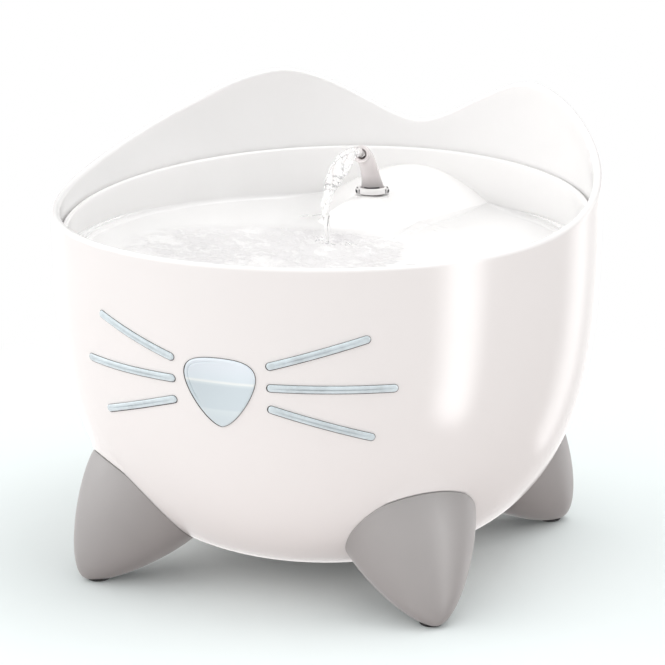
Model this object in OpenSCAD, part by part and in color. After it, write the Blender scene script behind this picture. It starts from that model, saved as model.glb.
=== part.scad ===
// Round pet drinking fountain with a cat face.
// A bowl on four tapered feet holds the water. A pump under a filter hood sends it up a riser
// to a swivelling spout, it falls into a tilted drinking dish, and drains back to the bowl.
// All sizes are millimetres. +Z is up, the face looks along -Y, and the origin is on the floor
// under the middle of the bowl.

/* [Bowl] */
// Outer diameter of the bowl at its widest
bowl_d = 230; // [228:0.5:232]
// Height of the lowest point of the bowl above the floor
bowl_low_z = 5.7; // [5.1:0.2:6.3]
// Height at which the side of the bowl would become upright
shoulder_z = 167.2; // [165.2:0.5:169.2]
// Wall thickness of the bowl
wall = 3; // [2.8:0.1:3.2]
// Height of the rim over the face
rim_front_z = 150.4; // [149:0.2:152]
// Height of the ear tips
ear_z = 191.4; // [187:0.2:196]
// Height of the dip between the ears
ear_dip_z = 168.4; // [165:0.2:172]
// Distance of each ear tip from the middle plane
ear_x = 62.9; // [59:0.3:66.2]

/* [Face] */
// Width of the nose window
nose_w = 30.6; // [28:0.2:32]
// Height of the top of the nose window
nose_top_z = 113.2; // [111:0.2:114]
// Height of the tip of the nose window
nose_tip_z = 84.4; // [83:0.2:88]
// Width of a whisker window
whisker_w = 3.4; // [3:0.1:4]
// How far the windows stand proud of the bowl
window_proud = 0.9; // [0.4:0.1:1.2]

/* [Feet] */
// Angle of the front feet from the middle of the face
front_foot_angle = 45; // [43:1:47]
// Angle of the rear feet from the middle of the back
rear_foot_angle = 49.4; // [46:0.2:52]
// Radius of a foot at its wide end
foot_r = 28.4; // [27.8:0.2:29]
// Length of a foot from its wide end to its tip
foot_len = 45.8; // [45:0.2:46.4]
// Lean of a foot away from upright
foot_lean = 40.7; // [39.7:0.5:41.7]

/* [Dish] */
// Height of the dish edge at the sides
dish_edge_z = 146.5; // [145:0.5:148]
// Tilt of the dish edge, low at the front
dish_tilt = 4.65; // [4:0.05:5.5]
// Height of the dish floor
dish_floor_z = 124.6; // [123.6:0.2:125.6]
// Height of the hill behind the spout where it meets the dish wall
hill_back_z = 148.5; // [146:0.5:150]
// Number of drain slots at the front of the dish
drain_count = 9; // [5:2:11]

/* [Spout] */
// Distance of the spout behind the middle of the bowl
spout_y = 54.4; // [54:0.1:55]
// Height of the middle of the spout's mouth
mouth_z = 165.4; // [162.4:0.5:168.4]
// Reach of the mouth in front of the spout's axis
mouth_reach = 13.8; // [11:0.2:16]

/* [Pump and filter] */
// Height of the plinth that the pump stands on
plinth_z = 22; // [21.8:0.1:22.4]
// Number of impeller blades
blade_count = 6; // [4:1:8]
// Number of slots in the front of the filter hood
hood_slot_count = 8; // [5:1:9]

/* [Hidden] */

$fn = 96;
eps = 0.01;
bowl_r = bowl_d / 2;
// Exponents that turn the quarter turn of the section into a flat-bottomed bowl
curve_power_r = 0.674;
curve_power_z = 0.604;
curve_steps = 28;
above = 20;

// Foot: centre of its wide end, and the screw and the pad below it
foot_root_r = 81.7;
foot_root_z = 36.4;
foot_cut_z = 0.9;
hip_gap = 0.15;
hip_lip = 0.3;
hip_len = 12;
hip_slope = 1;
pad_r = 4.8;
pad_at_r = 104.6;
pad_stem_r = 3;
pad_stem_z = 8;
screw_at_r = 90;
boss_r = 4;
boss_z = 20.7;
pilot_r = 1.45;
pilot_top_z = 34.5;
screw_seat_z = 18;
screw_head_r = 2.9;
screw_shank_r = 1.4;

// Ledge that the dish rests on
ledge_z = 114.6;
ledge_r = 105.5;
ledge_angles = [50, 102, 212, 264];
ledge_sweep = 46;

// Dish
dish_r = bowl_r - wall - 0.7;
dish_wall = 2.4;
dish_drain_z = 133.8;
drain_w = 5;
drain_step = 9;
socket_r = 5;
socket_wall = 2.4;
socket_low_z = 111;
hill_sink = 0.6;
hill_front_y = spout_y - 40;
hill_crown_y = spout_y - 9;
hill_spout_z = 145.4;
hill_half_front = 42;
hill_half_back = 75;

// Spout and riser
collar_z = hill_spout_z + 0.2;
collar_r = 7.2;
spout_low_z = 132.4;
stem_r = 4.25;
neck_r = 3.2;
spout_bore_r = 2.2;
bend_r = 6;
seal_z = 138.4;
seal_r = 0.9;
riser_r = 4.7;
riser_bore_r = 3.9;
riser_top_z = 127.4;

// Pump, standing on suction cups
pump_half_w = 19;
pump_front_y = 22;
pump_back_y = 58;
pump_z = plinth_z + 3;
pump_h = 36;
pump_top_z = pump_z + pump_h;
rotor_z = pump_z + 17;
chamber_y = 48;
chamber_r = 13;
well_y = 28;
well_r = 8;
well_wall = 1.6;
magnet_r = 7;
shaft_r = 1.15;
running_gap = 0.05;
outlet_r = 3.85;
outlet_bore_r = 2.6;
outlet_top_z = pump_top_z + 8;
light_y = 35;
light_lens_r = 3.4;
cup_stem_r = 1.9;
cup_places = [for (x = [-12.5, 12.5]) for (y = [28.5, 51.5]) [x, y]];
gland_x = 11.5;
gland_y = 46;
gland_r = 4;
gland_plug_r = 3.1;
cable_r = 2.2;

// Filter hood and its cartridge
hood_half_w = 27;
hood_front_y = -4;
hood_back_y = 65;
hood_corner_r = 15;
hood_wall = 2;
hood_top_z = plinth_z + 46;
bay_back_y = 18;
cartridge_half_w = 20;
cartridge_gap = 0.4;
cartridge_low_z = plinth_z + 2;
cartridge_h = 42;

// Rear cable outlet
grommet_z = 106.1;
grommet_r = 5;
grommet_flange_r = 7.4;

// Whiskers as [inner azimuth, inner height, outer azimuth, outer height]
whisker_upper = [9.65, 110.7, 30.45, 122.65];
whisker_middle = [9.7, 102.3, 36, 101.85];
whisker_lower = [9.87, 93.9, 31.3, 81.4];
window_gap = 0.08;

// A point of a cubic Bezier curve, and the whole curve in n steps
function bezier_at(p, t) =
    pow(1 - t, 3) * p[0] + 3 * pow(1 - t, 2) * t * p[1] + 3 * (1 - t) * t * t * p[2] + t * t * t * p[3];
function bezier(p, n) = [for (i = [0:n]) bezier_at(p, i / n)];
function mirrored(points) = [for (i = [len(points) - 1:-1:0]) [-points[i][0], points[i][1]]];

// Section of the bowl from its lowest point on the axis out to the shoulder
function bowl_curve(r_max, low_z) = [
    for (i = [0:curve_steps])
        let (a = 90 * i / curve_steps)
        [r_max * pow(sin(a), curve_power_r), shoulder_z - (shoulder_z - low_z) * pow(cos(a), curve_power_z)]
];

// Solid inside the bowl's outer surface, grown outward by an amount
module bowl_solid(grow = 0) {
    top_z = ear_z + above;
    section = concat(bowl_curve(bowl_r + grow, bowl_low_z - grow), [[bowl_r + grow, top_z], [0, top_z]]);
    rotate_extrude()
        polygon(section);
}

// What stays of the wall under the wavy rim: low over the face, rising to the ears behind
module under_rim_side() {
    reach = bowl_r + above;
    wave = bezier([[-90, rim_front_z], [45.1, rim_front_z], [76.2, ear_z], [98.9, ear_z]], 28);
    rotate([90, 0, 90])
        linear_extrude(2 * reach, center = true)
            polygon(concat([[-reach, 0], [-reach, rim_front_z]], wave, [[reach, ear_z], [reach, 0]]));
}

// The dip between the ears
module between_ears() {
    half = bezier([[0, ear_dip_z], [0.26 * ear_x, ear_dip_z], [0.64 * ear_x, ear_z], [ear_x, ear_z]], 16);
    top = [[ear_x, ear_z + above], [-ear_x, ear_z + above]];
    translate([0, bowl_r + above, 0])
        rotate([90, 0, 0])
            linear_extrude(bowl_r)
                polygon(concat(mirrored(half), [for (i = [1:len(half) - 1]) half[i]], top));
}

// Places children in a foot's own frame: the axis of the foot along +Z, from its wide end
module at_foot(azimuth) {
    rotate([0, 0, azimuth - 90])
        translate([foot_root_r, 0, foot_root_z])
            rotate([0, 180 - foot_lean, 0])
                children();
}

// Places children upright at a radius under a foot
module under_foot(azimuth, r) {
    rotate([0, 0, azimuth - 90])
        translate([r, 0, 0])
            children();
}

foot_azimuths = [-front_foot_angle, front_foot_angle, -180 + rear_foot_angle, 180 - rear_foot_angle];

// Hip of the bowl that a foot grows out of, wider towards the bowl
module hip(azimuth) {
    at_foot(azimuth)
        translate([0, 0, -hip_len])
            cylinder(r1 = foot_r + hip_lip + hip_slope * hip_len, r2 = foot_r + hip_lip, h = hip_len);
}

module foot_boss(azimuth) {
    under_foot(azimuth, screw_at_r)
        translate([0, 0, boss_z])
            cylinder(r = boss_r, h = 20);
}

// Half of the nose outline, from the middle of its top edge round to its tip
function nose_half(shrink) =
    let (w = nose_w / 2 - shrink, top = nose_top_z - shrink, tip = nose_tip_z + shrink, side = nose_tip_z + 21.2)
    concat(
        bezier([[0, top], [0.55 * w, top], [w, top - 1.2], [w, side]], 10),
        [for (i = [1:10]) bezier_at([[w, side], [w, side - 7], [0.36 * w, tip + 0.4], [0, tip]], i / 10)]
    );

// Prism through the front wall with the outline of the nose
module nose_prism(shrink = 0) {
    half = nose_half(shrink);
    left = mirrored(half);
    rotate([90, 0, 0])
        linear_extrude(bowl_r + above)
            polygon(concat(half, [for (i = [1:len(left) - 2]) left[i]]));
}

// Prism through the wall for one whisker, square to the wall at its middle
module whisker_prism(ends, side, shrink = 0) {
    middle = (ends[0] + ends[2]) / 2;
    wall_r = bowl_r - 2.5;
    start = [-wall_r * sin(middle - ends[0]), ends[1]];
    end = [wall_r * sin(ends[2] - middle), ends[3]];
    run = norm(end - start);
    rise = atan2(end[1] - start[1], end[0] - start[0]);
    half_w = whisker_w / 2 - shrink;
    mirror([side < 0 ? 1 : 0, 0, 0])
        rotate([0, 0, middle])
            rotate([90, 0, 0])
                translate([start[0], start[1], bowl_r - 40])
                    rotate([0, 0, rise])
                        linear_extrude(60) {
                            translate([half_w + shrink, -half_w])
                                square([run - 2 * (half_w + shrink), 2 * half_w]);
                            for (x = [half_w + shrink, run - half_w - shrink])
                                translate([x, 0])
                                    circle(half_w, $fn = 32);
                        }
}

// The layer of the wall that a window fills
module window_layer() {
    difference() {
        bowl_solid(window_proud);
        bowl_solid(-wall + 0.3);
    }
}

// Reservoir bowl: shell with ears, hips and bosses for the feet, dish ledge, plinth and cut-outs
module reservoir_bowl() color("white") {
    difference() {
        union() {
            intersection() {
                bowl_solid();
                under_rim_side();
            }
            for (azimuth = foot_azimuths) {
                hip(azimuth);
                foot_boss(azimuth);
            }
        }
        between_ears();
        difference() {
            bowl_solid(-wall);
            plinth();
            dish_ledges();
        }
        nose_prism();
        for (side = [-1, 1]) {
            whisker_prism(whisker_upper, side);
            whisker_prism(whisker_middle, side);
            whisker_prism(whisker_lower, side);
        }
        for (azimuth = foot_azimuths)
            under_foot(azimuth, screw_at_r)
                translate([0, 0, boss_z - eps])
                    cylinder(r = pilot_r, h = pilot_top_z - boss_z, $fn = 32);
        translate([0, bowl_r - 20, grommet_z])
            rotate([-90, 0, 0])
                cylinder(r = grommet_r, h = 40, $fn = 48);
    }
}

// Raised floor under the pump and the hood
module plinth() {
    margin = 2;
    linear_extrude(plinth_z)
        rounded_bar(hood_half_w + margin, hood_front_y - margin, hood_back_y + margin, hood_corner_r + margin);
}

// Ledges round the inside of the wall, with the front left open for the face windows
module dish_ledges() {
    section = [[ledge_r, ledge_z], [ledge_r, ledge_z - 1.6], [bowl_r - 5, ledge_z - 9], [bowl_r, ledge_z - 9],
        [bowl_r, ledge_z]];
    for (start = ledge_angles)
        rotate([0, 0, start - 90])
            rotate_extrude(angle = ledge_sweep)
                polygon(section);
}

// Flat outline, symmetric in X, from y_low to y_high with round corners
module rounded_bar(half_w, y_low, y_high, r) {
    translate([-half_w + r, y_low])
        square([2 * (half_w - r), y_high - y_low]);
    translate([-half_w, y_low + r])
        square([2 * half_w, y_high - y_low - 2 * r]);
    for (x = [-half_w + r, half_w - r])
        for (y = [y_low + r, y_high - r])
            translate([x, y])
                circle(r);
}

module nose_window() color("lightblue") {
    intersection() {
        window_layer();
        nose_prism(window_gap);
    }
}

module whisker_window(ends, side) color("lightblue") {
    intersection() {
        window_layer();
        whisker_prism(ends, side, window_gap);
    }
}

module whisker_upper_left() whisker_window(whisker_upper, -1);
module whisker_middle_left() whisker_window(whisker_middle, -1);
module whisker_lower_left() whisker_window(whisker_lower, -1);
module whisker_upper_right() whisker_window(whisker_upper, 1);
module whisker_middle_right() whisker_window(whisker_middle, 1);
module whisker_lower_right() whisker_window(whisker_lower, 1);

// Tapered foot: a turned form with a round tip, cut by the bowl above and by its pad below
module foot(azimuth) color("darkgray") {
    side = bezier([[foot_r, 0], [0.9225 * foot_r, 0.354 * foot_len], [0.321 * foot_r, foot_len], [0, foot_len]], 20);
    head_room_z = screw_seat_z + 2.5;
    difference() {
        at_foot(azimuth)
            translate([0, 0, hip_gap])
                rotate_extrude()
                    polygon(concat(side, [[0, 0]]));
        bowl_solid(hip_gap);
        translate([-200, -200, -20])
            cube([400, 400, 20 + foot_cut_z]);
        under_foot(azimuth, pad_at_r)
            cylinder(r = pad_stem_r + 0.05, h = pad_stem_z + 0.5, $fn = 48);
        under_foot(azimuth, screw_at_r) {
            translate([0, 0, -1])
                cylinder(r = screw_head_r + 0.5, h = screw_seat_z + 1, $fn = 48);
            cylinder(r = screw_shank_r + 0.3, h = 40, $fn = 32);
            translate([0, 0, head_room_z])
                cylinder(r = boss_r + 0.2, h = 40, $fn = 48);
        }
    }
}

module foot_front_left() foot(-front_foot_angle);
module foot_front_right() foot(front_foot_angle);
module foot_rear_left() foot(-180 + rear_foot_angle);
module foot_rear_right() foot(180 - rear_foot_angle);

// Rubber pad with a stem that plugs into the tip of the foot
module pad(azimuth) color("dimgray") {
    under_foot(azimuth, pad_at_r)
        rotate_extrude($fn = 48)
            polygon([[0, 0], [pad_r - 0.5, 0], [pad_r, 0.5], [pad_r, foot_cut_z], [pad_stem_r, foot_cut_z],
                [pad_stem_r, pad_stem_z - 0.6], [pad_stem_r - 0.6, pad_stem_z], [0, pad_stem_z]]);
}

module pad_front_left() pad(-front_foot_angle);
module pad_front_right() pad(front_foot_angle);
module pad_rear_left() pad(-180 + rear_foot_angle);
module pad_rear_right() pad(180 - rear_foot_angle);

// Four pan-head screws, driven up through the feet into the bosses
module foot_screws() color("silver") {
    head_h = 2.4;
    for (azimuth = foot_azimuths)
        under_foot(azimuth, screw_at_r)
            difference() {
                union() {
                    translate([0, 0, screw_seat_z - head_h])
                        cylinder(r1 = screw_head_r - 0.5, r2 = screw_head_r, h = head_h, $fn = 48);
                    translate([0, 0, screw_seat_z - eps])
                        cylinder(r = screw_shank_r, h = pilot_top_z - screw_seat_z - 1.5, $fn = 32);
                }
                for (turn = [0, 90])
                    translate([0, 0, screw_seat_z - head_h])
                        rotate([0, 0, turn])
                            cube([3, 0.7, 2], center = true);
            }
}

// Rubber grommet in the rear wall: a flange on each side of the wall, and a tight lip at the inner end
module cable_grommet() color("gray") {
    outside_y = bowl_r - 0.15;
    inside_y = bowl_r - wall - 5;
    inner_flange_r = grommet_flange_r - 1;
    lip_len = 3.6;
    mouth_r = cable_r + 0.7;
    difference() {
        translate([0, 0, grommet_z])
            rotate([-90, 0, 0])
                rotate_extrude($fn = 64)
                    polygon([[0, inside_y], [inner_flange_r - 0.6, inside_y], [inner_flange_r, inside_y + 0.6],
                        [inner_flange_r, bowl_r - 3], [grommet_flange_r, bowl_r - 3],
                        [grommet_flange_r, outside_y - 0.6], [grommet_flange_r - 0.6, outside_y], [0, outside_y]]);
        difference() {
            bowl_solid(0.03);
            bowl_solid(-wall - 0.03);
            translate([0, bowl_r - 20, grommet_z])
                rotate([-90, 0, 0])
                    cylinder(r = grommet_r - 0.03, h = 40, $fn = 48);
        }
        translate([0, 0, grommet_z])
            rotate([-90, 0, 0])
                rotate_extrude($fn = 48)
                    polygon([[0, inside_y - 1], [cable_r, inside_y - 1], [cable_r, inside_y + lip_len],
                        [mouth_r, inside_y + lip_len + 1], [mouth_r, outside_y + 1], [0, outside_y + 1]]);
    }
}

// Places children along the rotor's axis: +Z of the child points to the back
module on_rotor_axis(y) {
    translate([0, y, rotor_z])
        rotate([-90, 0, 0])
            children();
}

// Pump body: motor pocket in front, rotor well, open impeller chamber behind, outlet on top
module pump_housing() color("whitesmoke") {
    pocket_half_w = pump_half_w - 2.4;
    pocket_depth = 21;
    difference() {
        union() {
            translate([0, pump_back_y, pump_z])
                rotate([90, 0, 0])
                    linear_extrude(pump_back_y - pump_front_y)
                        rounded_bar(pump_half_w, 0, pump_h, 4);
            translate([0, spout_y, pump_top_z - eps])
                cylinder(r = outlet_r + 1.5, h = 1.5, $fn = 64);
            translate([0, spout_y, pump_top_z])
                cylinder(r = outlet_r, h = outlet_top_z - pump_top_z, $fn = 64);
        }
        on_rotor_axis(chamber_y)
            cylinder(r = chamber_r, h = 30);
        on_rotor_axis(well_y)
            cylinder(r = well_r, h = 30, $fn = 64);
        translate([0, spout_y, rotor_z])
            cylinder(r = outlet_bore_r, h = 40, $fn = 48);
        difference() {
            translate([0, pump_front_y + pocket_depth, pump_z])
                rotate([90, 0, 0])
                    linear_extrude(pocket_depth + 1)
                        rounded_bar(pocket_half_w, 2.4, pump_h - 8, 3);
            on_rotor_axis(well_y - well_wall)
                cylinder(r = well_r + well_wall, h = 40, $fn = 64);
        }
        translate([0, light_y, pump_top_z - 3])
            cylinder(r = light_lens_r + 0.9, h = 10, $fn = 48);
        translate([gland_x, gland_y, pump_top_z - 5])
            cylinder(r = gland_plug_r + 0.05, h = 10, $fn = 48);
        for (p = cup_places)
            translate([p[0], p[1], pump_z - 1])
                cylinder(r = cup_stem_r + 0.1, h = 2.6, $fn = 32);
    }
}

// Cover of the impeller chamber with a ring of intake slots
module pump_faceplate() color("whitesmoke") {
    plate_h = 2.4;
    slots = 10;
    difference() {
        union() {
            translate([0, pump_back_y + 0.05 + plate_h, pump_z])
                rotate([90, 0, 0])
                    linear_extrude(plate_h)
                        rounded_bar(pump_half_w - 0.6, 1, pump_h - 1, 4);
            on_rotor_axis(pump_back_y - 1.8)
                difference() {
                    cylinder(r = chamber_r - 0.1, h = 2);
                    cylinder(r = chamber_r - 2, h = 5, center = true);
                }
            on_rotor_axis(pump_back_y - 0.6)
                cylinder(r = 3.6, h = 1, $fn = 48);
        }
        for (i = [0:slots - 1])
            on_rotor_axis(pump_back_y - 1)
                rotate([0, 0, i * 360 / slots])
                    translate([4.6, -0.9, 0])
                        cube([5, 1.8, 6]);
        on_rotor_axis(pump_back_y - 2)
            cylinder(r = 2.2, h = 3.2, $fn = 48);
    }
}

// Potted coil and core round the rotor well
module pump_stator() color("goldenrod") {
    gap = 0.1;
    difference() {
        translate([0, pump_front_y + 20.8, pump_z])
            rotate([90, 0, 0])
                linear_extrude(20.3)
                    rounded_bar(pump_half_w - 2.4 - gap, 2.4 + gap, pump_h - 8 - gap, 3);
        on_rotor_axis(well_y - well_wall - gap)
            cylinder(r = well_r + well_wall + gap, h = 40, $fn = 64);
    }
}

module rotor_shaft() color("ivory") {
    on_rotor_axis(well_y + 0.6)
        cylinder(r = shaft_r, h = pump_back_y - well_y - 0.6, $fn = 48);
}

// Rubber bush that holds one end of the shaft
module bush(y, r, h, y_hole) color("black") {
    difference() {
        on_rotor_axis(y)
            cylinder(r = r, h = h, $fn = 48);
        on_rotor_axis(y_hole)
            cylinder(r = shaft_r, h = 40, $fn = 48);
    }
}

module bush_rear() bush(well_y, well_r - 0.05, 2.4, well_y + 0.6);

module bush_front() bush(pump_back_y - 2, 2.18, 3, pump_back_y - 40);

// Magnet that turns in the well
module rotor_magnet() color("dimgray") {
    on_rotor_axis(well_y + 3.4)
        difference() {
            cylinder(r = magnet_r, h = 15.6, $fn = 64);
            translate([0, 0, -1])
                cylinder(r = shaft_r + running_gap, h = 30, $fn = 48);
        }
}

// Hub and straight blades in the chamber
module impeller() color("royalblue") {
    hub_y = well_y + 19.2;
    blade_h = 5.6;
    on_rotor_axis(hub_y)
        difference() {
            union() {
                cylinder(r = 5.5, h = 1.6, $fn = 64);
                cylinder(r = 2.8, h = 8, $fn = 48);
                for (i = [0:blade_count - 1])
                    rotate([0, 0, i * 360 / blade_count])
                        translate([1, -0.5, 1.4])
                            cube([9, 1, blade_h]);
            }
            translate([0, 0, -1])
                cylinder(r = shaft_r + running_gap, h = 20, $fn = 48);
        }
}

// Four suction feet of the pump
module suction_cups() color("black") {
    low = plinth_z;
    stem_top_z = pump_z + 1.4;
    for (p = cup_places)
        translate([p[0], p[1], 0])
            rotate_extrude($fn = 48)
                polygon([[0, low + 0.8], [3.2, low], [4.6, low], [2.8, low + 1.6], [2.8, pump_z], [cup_stem_r, pump_z],
                    [cup_stem_r, stem_top_z], [0, stem_top_z]]);
}

// Clear riser from the pump's outlet into the socket of the dish
module riser_tube() color("azure") {
    translate([0, spout_y, 0])
        rotate_extrude($fn = 64)
            polygon([[riser_bore_r, pump_top_z + 1.6], [riser_r + 0.6, pump_top_z + 1.6], [riser_r + 0.6, outlet_top_z],
                [riser_r, outlet_top_z + 1.5], [riser_r, riser_top_z - 1.2], [riser_r - 0.6, riser_top_z],
                [3.2, riser_top_z], [3.2, outlet_top_z + 1.5], [riser_bore_r, outlet_top_z + 0.5]]);
}

// Round circuit board with one lamp, under the lens
module light_board() color("green") {
    translate([0, light_y, pump_top_z - 3]) {
        cylinder(r = light_lens_r + 0.7, h = 1, $fn = 48);
        cylinder(r = 1.4, h = 2.2, $fn = 32);
    }
}

// Clear lens that carries the light up through the hood
module light_lens() color("lightcyan") {
    base_z = pump_top_z - 1.9;
    difference() {
        translate([0, light_y, base_z])
            rotate_extrude($fn = 48)
                polygon(concat([[0, 0], [light_lens_r + 0.8, 0], [light_lens_r + 0.8, 1.9], [light_lens_r, 1.9],
                    [light_lens_r, 7]], [for (a = [15:15:90]) [light_lens_r * cos(a), 7 + light_lens_r * sin(a)]]));
        translate([0, light_y, base_z - 1])
            cylinder(r = 1.7, h = 2.6, $fn = 32);
    }
}

// Rubber gland at the pump's cable inlet
module pump_cable_gland() color("black") {
    translate([gland_x, gland_y, 0])
        difference() {
            rotate_extrude($fn = 48)
                polygon([[0, pump_top_z - 4.9], [gland_plug_r, pump_top_z - 4.9], [gland_plug_r, pump_top_z],
                    [gland_r, pump_top_z], [gland_r, pump_top_z + 2.4], [gland_r - 0.7, pump_top_z + 8],
                    [0, pump_top_z + 8]]);
            translate([0, 0, pump_top_z - 2])
                cylinder(r = cable_r, h = 20, $fn = 48);
        }
}

// Hood over the pump: slotted front, bay for the cartridge, holes for riser, lens and gland
module filter_hood() color("lightgray") {
    inner_h = hood_top_z - plinth_z - hood_wall;
    bay_half_w = cartridge_half_w + cartridge_gap;
    bay_front_y = hood_front_y + hood_wall;
    slot_step = 2 * cartridge_half_w / hood_slot_count;
    difference() {
        translate([0, 0, plinth_z])
            linear_extrude(hood_top_z - plinth_z)
                rounded_bar(hood_half_w, hood_front_y, hood_back_y, hood_corner_r);
        difference() {
            translate([0, 0, plinth_z - 1])
                linear_extrude(inner_h + 1)
                    rounded_bar(hood_half_w - hood_wall, bay_front_y, hood_back_y - hood_wall, hood_corner_r - hood_wall);
            translate([-hood_half_w, bay_back_y, plinth_z - 2])
                cube([2 * hood_half_w, 1.8, inner_h + 5]);
            for (side = [-1, 1])
                translate([side > 0 ? bay_half_w : -bay_half_w - 1.6, bay_front_y - 1, plinth_z - 2])
                    cube([1.6, bay_back_y - bay_front_y + 1.5, inner_h + 5]);
            translate([-bay_half_w - 1, bay_front_y - 1, plinth_z - 2])
                cube([2 * bay_half_w + 2, bay_back_y - bay_front_y + 2, 3.6]);
        }
        translate([-bay_half_w, bay_front_y, cartridge_low_z - 0.4])
            cube([2 * bay_half_w, bay_back_y - bay_front_y, 60]);
        translate([-bay_half_w + 4, bay_back_y - 1, cartridge_low_z + 4])
            cube([2 * bay_half_w - 8, 4, cartridge_h - 10]);
        for (i = [0:hood_slot_count - 1])
            translate([-cartridge_half_w + (i + 0.5) * slot_step - 1.3, hood_front_y - 1, cartridge_low_z + 4])
                cube([2.6, 5, cartridge_h - 10]);
        translate([0, spout_y, hood_top_z - 5])
            cylinder(r = riser_r + 1.8, h = 10, $fn = 64);
        translate([0, light_y, hood_top_z - 5])
            cylinder(r = light_lens_r + 1, h = 10, $fn = 48);
        translate([gland_x, gland_y, hood_top_z - 5])
            cylinder(r = gland_r + 1, h = 10, $fn = 48);
    }
}

// Cartridge: a frame with barred faces round three layers of filter
module cartridge_box(inset, y_low, y_high, z_low, z_high) {
    translate([-cartridge_half_w + inset, y_low, z_low])
        cube([2 * (cartridge_half_w - inset), y_high - y_low, z_high - z_low]);
}

cartridge_front_y = hood_front_y + hood_wall + cartridge_gap;
cartridge_back_y = bay_back_y - cartridge_gap;
cartridge_top_z = cartridge_low_z + cartridge_h;
cartridge_rim = 1.6;
layer_ys = [
    cartridge_front_y + cartridge_rim,
    cartridge_front_y + cartridge_rim + 6,
    cartridge_back_y - cartridge_rim - 4,
    cartridge_back_y - cartridge_rim
];

module cartridge_layer(index) {
    gap = 0.05;
    cartridge_box(cartridge_rim + gap, layer_ys[index] + gap, layer_ys[index + 1] - gap,
        cartridge_low_z + cartridge_rim + gap, cartridge_top_z - cartridge_rim - gap);
}

module cartridge_frame() color("white") {
    windows = 4;
    pitch = (2 * cartridge_half_w - 2) / windows;
    tab_half_w = 9;
    difference() {
        cartridge_box(0, cartridge_front_y, cartridge_back_y, cartridge_low_z, cartridge_top_z);
        cartridge_box(cartridge_rim, cartridge_front_y + cartridge_rim, cartridge_back_y - cartridge_rim,
            cartridge_low_z + cartridge_rim, cartridge_top_z - cartridge_rim);
        for (i = [0:windows - 1])
            translate([-cartridge_half_w + 2 + i * pitch, cartridge_front_y - 1, cartridge_low_z + 3])
                cube([pitch - 2, 40, cartridge_h - 6]);
    }
    difference() {
        translate([-tab_half_w, cartridge_back_y - 4, cartridge_top_z - eps])
            cube([2 * tab_half_w, 2, 9]);
        translate([-tab_half_w + 2.5, cartridge_back_y - 5, cartridge_top_z + 1.5])
            cube([2 * tab_half_w - 5, 4, 5]);
    }
}

module cartridge_foam() color("slategray") cartridge_layer(0);
module cartridge_carbon() color("black") cartridge_layer(1);
module cartridge_resin() color("wheat") cartridge_layer(2);

// Height of the hill above the dish floor: a ridge from the spout to the back wall
function hill_rise(y) =
    y < hill_front_y ? 0
    : y < hill_crown_y ? (hill_spout_z - dish_floor_z) * pow(sin(90 * (y - hill_front_y) / (hill_crown_y - hill_front_y)), 2)
    : hill_spout_z - dish_floor_z + (hill_back_z - hill_spout_z) * (y - hill_crown_y) / (dish_r - hill_crown_y);
function hill_half_w(y) =
    y < spout_y ? hill_half_front
    : hill_half_front + (hill_half_back - hill_half_front) * (y - spout_y) / (dish_r - spout_y);

// The hill as a closed solid down to low_z, lowered by a skin thickness
module hill(skin, low_z, steps_x, steps_y) {
    across = steps_x + 1;
    top = [
        for (j = [0:steps_y])
            for (i = [0:steps_x])
                let (
                    y = hill_front_y - 2 + (dish_r + 4 - hill_front_y) * j / steps_y,
                    v = 2 * i / steps_x - 1,
                    h = hill_rise(y) * pow(cos(90 * v), 2)
                )
                [v * hill_half_w(y), y, dish_floor_z - hill_sink + h - skin]
    ];
    border = concat(
        [for (i = [0:steps_x]) i],
        [for (j = [1:steps_y]) j * across + steps_x],
        [for (i = [steps_x - 1:-1:0]) steps_y * across + i],
        [for (j = [steps_y - 1:-1:1]) j * across]
    );
    count = len(border);
    low = [for (k = border) [top[k][0], top[k][1], low_z]];
    hub = len(top) + count;
    surface = [
        for (j = [0:steps_y - 1])
            for (i = [0:steps_x - 1])
                let (a = j * across + i, b = a + 1, c = a + across, d = c + 1)
                for (half = [0, 1])
                    half == 0 ? [a, c, b] : [b, c, d]
    ];
    sides = [
        for (k = [0:count - 1])
            let (n = (k + 1) % count, p = len(top) + k, q = len(top) + n)
            for (half = [0, 1])
                half == 0 ? [border[k], border[n], q] : [border[k], q, p]
    ];
    floor_faces = [for (k = [0:count - 1]) [len(top) + k, len(top) + (k + 1) % count, hub]];
    polyhedron(concat(top, low, [[0, spout_y, low_z]]), concat(surface, sides, floor_faces));
}

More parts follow.
